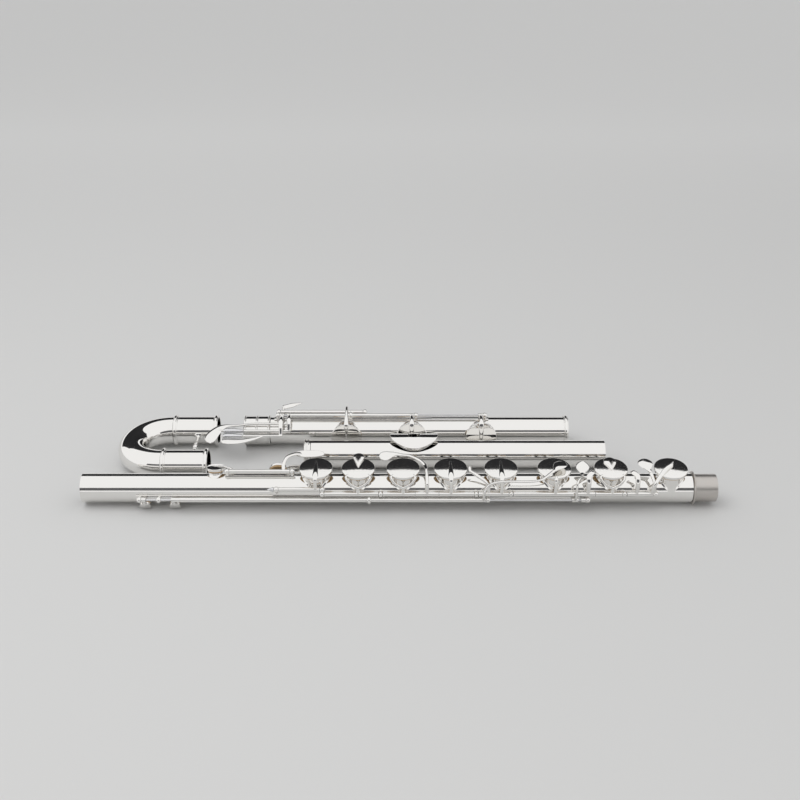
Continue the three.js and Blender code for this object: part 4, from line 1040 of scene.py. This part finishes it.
stopperLook = {"corkLength": 22.0, "corkRadius": 13.5, "fromHole": 27.0, "coreRadius": 1.85, "threadRadius": 2.2,
               "threadPast": 0.2, "pitch": 0.5, "plate": (2.5, 0.3), "plateRadius": 9.0, "fromCrown": 14.3,
               "corkRound": 0.6}
core, plate, pitch = stopperLook["coreRadius"], stopperLook["plateRadius"], stopperLook["pitch"]
corkRight, corkRadius = blowX - stopperLook["fromHole"], stopperLook["corkRadius"]
corkLeft, screwLeft = corkRight - stopperLook["corkLength"], headLeft + stopperLook["fromCrown"]
plateLeft, plateRight = (corkLeft - back for back in stopperLook["plate"])
thread = []
for i in range(int((plateLeft - pitch - screwLeft) / pitch)):
    along = screwLeft + stopperLook["threadPast"] + i * pitch
    thread += [(along, core), (along + pitch / 2, stopperLook["threadRadius"])]
screwProfile = [(screwLeft, 0), (screwLeft, core), *thread, (plateLeft, core), (plateLeft, plate), (plateRight, plate),
                (plateRight, 0)]
piece("stopper_screw", "head", revolved(screwProfile, 32), slot="rod_steel")
corkProfile = [(corkLeft, 0), (corkLeft, corkRadius), (corkRight, corkRadius), (corkRight, 0)]
piece("stopper_cork", "head", turned(corkProfile, stopperLook["corkRound"], 4, 64), slot="cork")
print("head tube made")


# Foot joint.
footLeft, footRight = -167.0, 180.0
socketLook = {"length": 28.0, "inner": 13.9, "outer": 15.6, "ring": 16.7, "ringWidth": 2.3, "edgeRound": 0.35}
inner, outer, ring, width = (socketLook[part] for part in ("inner", "outer", "ring", "ringWidth"))
socketRight = footLeft + socketLook["length"]
holedTube("foot", "foot_joint", socketRight + gap, footRight, [(x, footCupAngle, mainCup) for x in footHoles])

socketProfile = [(footLeft, inner)]
for x in (footLeft, (footLeft + socketRight - width) / 2, socketRight - width):
    socketProfile += [(x, outer), (x + 0.5, ring - 0.35), (x + width / 2, ring), (x + 1.8, ring - 0.35),
                      (x + width, outer)]
socketProfile += [(socketRight, inner), (footLeft, inner)]
piece("foot_socket", "foot_joint", turned(socketProfile, socketLook["edgeRound"], 4))
x = footRight - tubing["ringWidth"]
endProfile = [(x, 14.8), (x, 15.3), (x + 0.8, 15.5), (x + 1.2, 16.3), (x + 2.3, ring), (x + 3.5, 16.3),
              (x + 3.9, 15.6), (footRight, 15.4), (footRight, 14.8), (x, 14.8)]
piece("foot_end_ring", "foot_joint", turned(endProfile, 0.3, 4))
print("foot tube made")

# The little finger's cluster: two keys' touches and rollers on one tilted plane.
clusterLook = {"tilt": 23.4 * degree, "height": 16.0, "left": -186.5, "axles": (-21.0, -29.0), "topBar": -13.5,
               "barLift": 3.0, "brackets": (-118.0, -126.0), "lobe": 4.6, "plate": 4.6}
rollerLook = {"radius": 3.0, "length": 20.0, "bore": 1.45, "ball": 2.1}
rollerLeft, barY, bracketXs = clusterLook["left"], clusterLook["topBar"], clusterLook["brackets"]
upperY, lowerY = clusterLook["axles"]
plateY = lowerY - rollerLook["radius"] - clusterLook["plate"]


def onCluster(shape):
    return moved(leaned(shape, clusterLook["tilt"]), 0, 0, clusterLook["height"])


def clusterPoint(x, y, lift=0.0):
    cos, sin = math.cos(clusterLook["tilt"]), math.sin(clusterLook["tilt"])
    return x, y * cos - lift * sin, y * sin + lift * cos + clusterLook["height"]


def axle(y, left, right):
    ballRadius = rollerLook["ball"]
    ballX = rollerLeft + rollerLook["length"] + gap + ballRadius
    ball = [(ballX + ballRadius * math.cos(a), ballRadius * math.sin(a)) for a in np.linspace(math.pi, 0, 15)]
    both = joined(rod(left, right, steelRadius), rod(ballX, right, steelRadius + 0.35), revolved(ball, 32))
    return onCluster(moved(both, 0, y))


def bracket(x, y):
    hingeY, hingeZ = hingeAt(footLine)
    end = clusterPoint(x, y)
    corner = (x, hingeY + (end[1] - hingeY) * 0.72, hingeZ - steelRadius)
    return limb([(x, hingeY, hingeZ), corner, end], [1.8, 1.5, 1.5], [2.2, 2.3, 2.1], (1, 0, 0))


def cSharpCluster():
    x, joinX = bracketXs[0], rollerLeft + rollerLook["length"] / 2
    lobeX = rollerLeft - clusterLook["lobe"] - rollerLook["radius"]
    lobe = [(joinX, barY, 0), (rollerLeft + 2.0, barY, 0), (lobeX + 3.6, barY - 3.0, 0), (lobeX - 2.6, upperY - 3.5, 0),
            (lobeX - 5.0, lowerY - 2.5, 0), (lobeX - 4.6, plateY - 3.0, 0)]
    lift = clusterLook["barLift"]
    bar = [clusterPoint(x, barY, lift), clusterPoint(joinX + 20, barY, lift), clusterPoint(joinX, barY)]
    return [
        bracket(x, upperY),
        axle(upperY, lobeX, x),
        onCluster(leaf(lobe, 1.5, 6.6, 1.2, 0.72)),
        limb(bar, [1.3] * 3, [1.2] * 3),
    ]


def cCluster():
    x, left = bracketXs[1], rollerLeft - steelRadius
    blade = [(left + 44, lowerY, 0), (left + 33, plateY + 3.4, 0), (left + 18, plateY - 0.2, 0),
             (left - 1, plateY, 0)]
    return [
        bracket(x, lowerY),
        axle(lowerY, left - steelRadius, x),
        onCluster(leaf(blade, 1.2, 3.9, 1.0, 0.86)),
        onCluster(strut((left, lowerY, 0), (left, plateY, 0), steelRadius)),
    ]


def pointedTouch():
    x = bracketXs[1]
    y, z = hingeAt(footBackLine)
    root = (x, y + touchRadius, z + touchRadius / 2)
    tip = (x + 20.0, y + touchRadius * 2, z + touchRadius)
    return [strut((x, y, z), root, armRadius, armLook["tip"]),
            limb([root, tip], [2.8, 3.0, 0.3], [1.2, 1.1, 0.3], (0, -0.45, 0.9))]


def archedArm(x, cup, hinge, side):
    y, z = hinge
    crest, edge, top = hingeLook["distance"] + touchRadius, cupEdge(x, cup, -1), topOf(cup) + 0.4
    path = [(x, y, z), (x, crest, z + 1.9), (x, crest, z + touchRadius * 2), (x, edge[1] + 1.9, edge[2] - 1.9),
            (x, edge[1] - 2.2, top), (x, 0, top + 0.2)]
    return limb(path, [1.8, 1.4, 1.4, 1.9, 2.5, 0.3], [1.8, 1.4, 1.3, 1.2, 0.9, 0.3], armUp, 64)


sleeve = armRadius + gap
rodSpan = [bracketXs[1] - sleeve, footHoles[2] + sleeve]
tubeSpan = [bracketXs[0] - sleeve, footHoles[1] + sleeve]
backSpan = [bracketXs[1] - sleeve, footHoles[0] + touchRadius * 3]
footKeys = [
    ("d_sharp_foot", footBackLine, backSpan, archedArm, pointedTouch(), 0.0, False),
    ("c_sharp_foot", footLine, tubeSpan, pointedArm, cSharpCluster(), -openAngle, False),
    ("c_foot", footLine, rodSpan, pointedArm, cCluster(), -openAngle, True),
]
for x, (body, line, span, arm, extras, turn, pinned) in zip(footHoles, footKeys):
    extras = [leaned(shape, -footCupAngle) for shape in extras]
    cuppedKey(body, "foot_joint", x, mainCup, footCupAngle, line, span, arm, extras, turn, pinned)

footPosts = [rodSpan[0] - postReach, tubeSpan[1] + postReach, rodSpan[1] + postReach]
footShapes = [post(x) for x in footPosts] + [post(sum(tubeSpan) / 2, hingeLook["tubeRadius"])]
ribbed("foot_post_rib", "foot_joint", footLine, footPosts[0], footPosts[2], footShapes, ribLook["past"])
lineOfTwo("foot_back", "foot_joint", footBackLine, backSpan)


# A bored barrel, fuller towards its left end.
def rollerShape():
    length, radius, hole = rollerLook["length"], rollerLook["radius"], rollerLook["bore"]
    shares = ((0.0, 0.74), (0.04, 0.88), (0.25, 1.0), (0.5, 0.96), (0.75, 0.8), (0.96, 0.66), (1.0, 0.6))
    barrel = smoothPath([(length * along, radius * out) for along, out in shares], 36)
    return revolved([(0.0, hole), *barrel, (length, hole), (0.0, hole)], 48)


for body, y in (("upper_roll", upperY), ("lower_roll", lowerY)):
    shape = leaned(moved(rollerShape(), *clusterPoint(rollerLeft, y)), -openAngle, hingeAt(footLine))
    piece(body + "er", "foot_joint", shape, body, "rod_steel")
print("foot joint made")


# The needle springs, one from each post, under the hinge line.
springLook = {"radius": 0.32, "tip": 0.112, "length": 17.0, "distance": 16.5, "sides": 10}


def needleTree():
    tree = bpy.data.node_groups.new("needleSprings", "GeometryNodeTree")
    face = tree.interface
    face.new_socket("Points", in_out="INPUT", socket_type="NodeSocketGeometry")
    kinds = {"Radius": "Float", "Tip": "Float", "Length": "Float", "Sides": "Int", "Steel": "Material"}
    sockets = {
        label: face.new_socket(label, in_out="INPUT", socket_type="NodeSocket" + kind).identifier
        for label, kind in kinds.items()
    }
    face.new_socket("Needles", in_out="OUTPUT", socket_type="NodeSocketGeometry")
    given, made, needle, lie, repeat, real, steel = (tree.nodes.new(kind) for kind in (
        "NodeGroupInput", "NodeGroupOutput", "GeometryNodeMeshCone", "GeometryNodeTransform",
        "GeometryNodeInstanceOnPoints", "GeometryNodeRealizeInstances", "GeometryNodeSetMaterial",
    ))
    setInputs(lie, {"Rotation": (0, math.pi / 2, 0)})
    for source, output, target, entry in (
        (given, "Sides", needle, "Vertices"), (given, "Length", needle, "Depth"),
        (given, "Tip", needle, "Radius Top"), (given, "Radius", needle, "Radius Bottom"),
        (needle, "Mesh", lie, "Geometry"), (lie, "Geometry", repeat, "Instance"),
        (given, "Points", repeat, "Points"), (repeat, "Instances", real, "Geometry"),
        (real, "Geometry", steel, "Geometry"), (given, "Steel", steel, "Material"),
        (steel, "Geometry", made, "Needles"),
    ):
        tree.links.new(source.outputs[output], target.inputs[entry])
    return tree, sockets


needles, needleSockets = needleTree()


def needleSprings(node, section, line, starts):
    name = camel(node)
    mesh = bpy.data.meshes.new(name)
    spots = [(x, *around(springLook["distance"], line)) for x in starts]
    mesh.from_pydata(inFrame(spots, section).tolist(), [], [])
    thing = inScene(name, mesh)
    maker = thing.modifiers.new("needles", "NODES")
    maker.node_group = needles
    values = {label: springLook[label.lower()] * millimetre for label in ("Radius", "Tip", "Length")}
    values.update({"Sides": springLook["sides"], "Steel": materials["rod_steel"]})
    for label, value in values.items():
        maker[needleSockets[label]] = value
    thing.data = evaluated(thing)
    thing.modifiers.remove(maker)
    thing.data.name = name
    bpy.data.meshes.remove(mesh)
    placed(thing, node, section, "rod_steel")


needleSprings("main_springs", "body_joint", mainLine, leftPosts + rightPosts[:-1])
needleSprings("trill_springs", "body_joint", trillLine, trillPosts[:-1])
needleSprings("foot_springs", "foot_joint", footLine, footPosts[:-1])
print("needle springs made")


# Floor, light and camera.
floorLook = {"color": (0.68, 0.68, 0.675), "roughness": 0.6, "size": 12.0}
cardLook = {"roughness": 0.9, "cards": {
    "backCard": {"y": 1.5, "low": 0.3, "high": 1.66, "side": 2.2, "color": (0.012, 0.012, 0.014)},
    "frontCard": {"y": -2.0, "low": 0.3, "high": 1.1, "side": 2.0, "color": (0.16, 0.16, 0.165)},
}}
lampLook = {"place": (-0.6, -0.35, 1.75), "size": (2.0, 1.5), "power": 11.0, "roomLight": 0.7}
cameraLook = {"place": (0.00085, -1.050, 0.602), "pitch": 63.8 * degree, "lens": 52.5, "sensor": 36.0,
              "clip": (0.01, 50.0)}


def plane(name, corners, color, roughness):
    mesh = bpy.data.meshes.new(name)
    mesh.from_pydata(corners, [], [(0, 1, 2, 3)])
    thing = inScene(name, mesh)
    thing.data.materials.append(material(name, color, 0.0, roughness)[0])
    return thing


def card(name, y, low, high, side, color):
    corners = [(-side, y, low), (side, y, low), (side, y, high), (-side, y, high)]
    thing = plane(name, corners, color, cardLook["roughness"])
    thing.visible_camera = thing.visible_diffuse = thing.visible_shadow = False


side = floorLook["size"] / 2
corners = [(-side, -side, 0.0), (side, -side, 0.0), (side, side, 0.0), (-side, side, 0.0)]
plane("floor", corners, floorLook["color"], floorLook["roughness"])

# Two cards that only the silver shows, as dark bands.
for name, look in cardLook["cards"].items():
    card(name, **look)

light = bpy.data.lights.new("lamp", "AREA")
light.shape = "RECTANGLE"
light.size, light.size_y = lampLook["size"]
light.energy = lampLook["power"]
lamp = inScene("lamp", light)
lamp.location = lampLook["place"]
lamp.visible_glossy = False  # the silver shows the white room there
lamp.rotation_mode = "QUATERNION"
lamp.rotation_quaternion = (-Vector(lampLook["place"])).to_track_quat("-Z", "Y")


# The surroundings are white to the camera and in the silver, and light the object at a plain level.
def surroundings():
    world = bpy.data.worlds.new("room")
    bpy.context.scene.world = world
    world.use_nodes = True
    tree = world.node_tree
    back = tree.nodes["Background"]
    setInputs(back, {"Color": (1, 1, 1, 1)})
    rays = tree.nodes.new("ShaderNodeLightPath")
    seen = rays.outputs["Is Camera Ray"]
    for kind in ("Is Glossy Ray", "Is Transmission Ray"):
        either = tree.nodes.new("ShaderNodeMath")
        either.operation = "MAXIMUM"
        tree.links.new(seen, either.inputs[0])
        tree.links.new(rays.outputs[kind], either.inputs[1])
        seen = either.outputs["Value"]
    ranged(tree, seen, lampLook["roomLight"], 1.0, back.inputs["Strength"])


surroundings()
bpy.context.scene.view_settings.view_transform = "Standard"
lens = bpy.data.cameras.new("camera")
lens.lens = cameraLook["lens"]
lens.sensor_width = cameraLook["sensor"]
lens.clip_start, lens.clip_end = cameraLook["clip"]
camera = inScene("camera", lens)
camera.location = cameraLook["place"]
camera.rotation_euler = (cameraLook["pitch"], 0, 0)
bpy.context.scene.camera = camera
print("stage made")
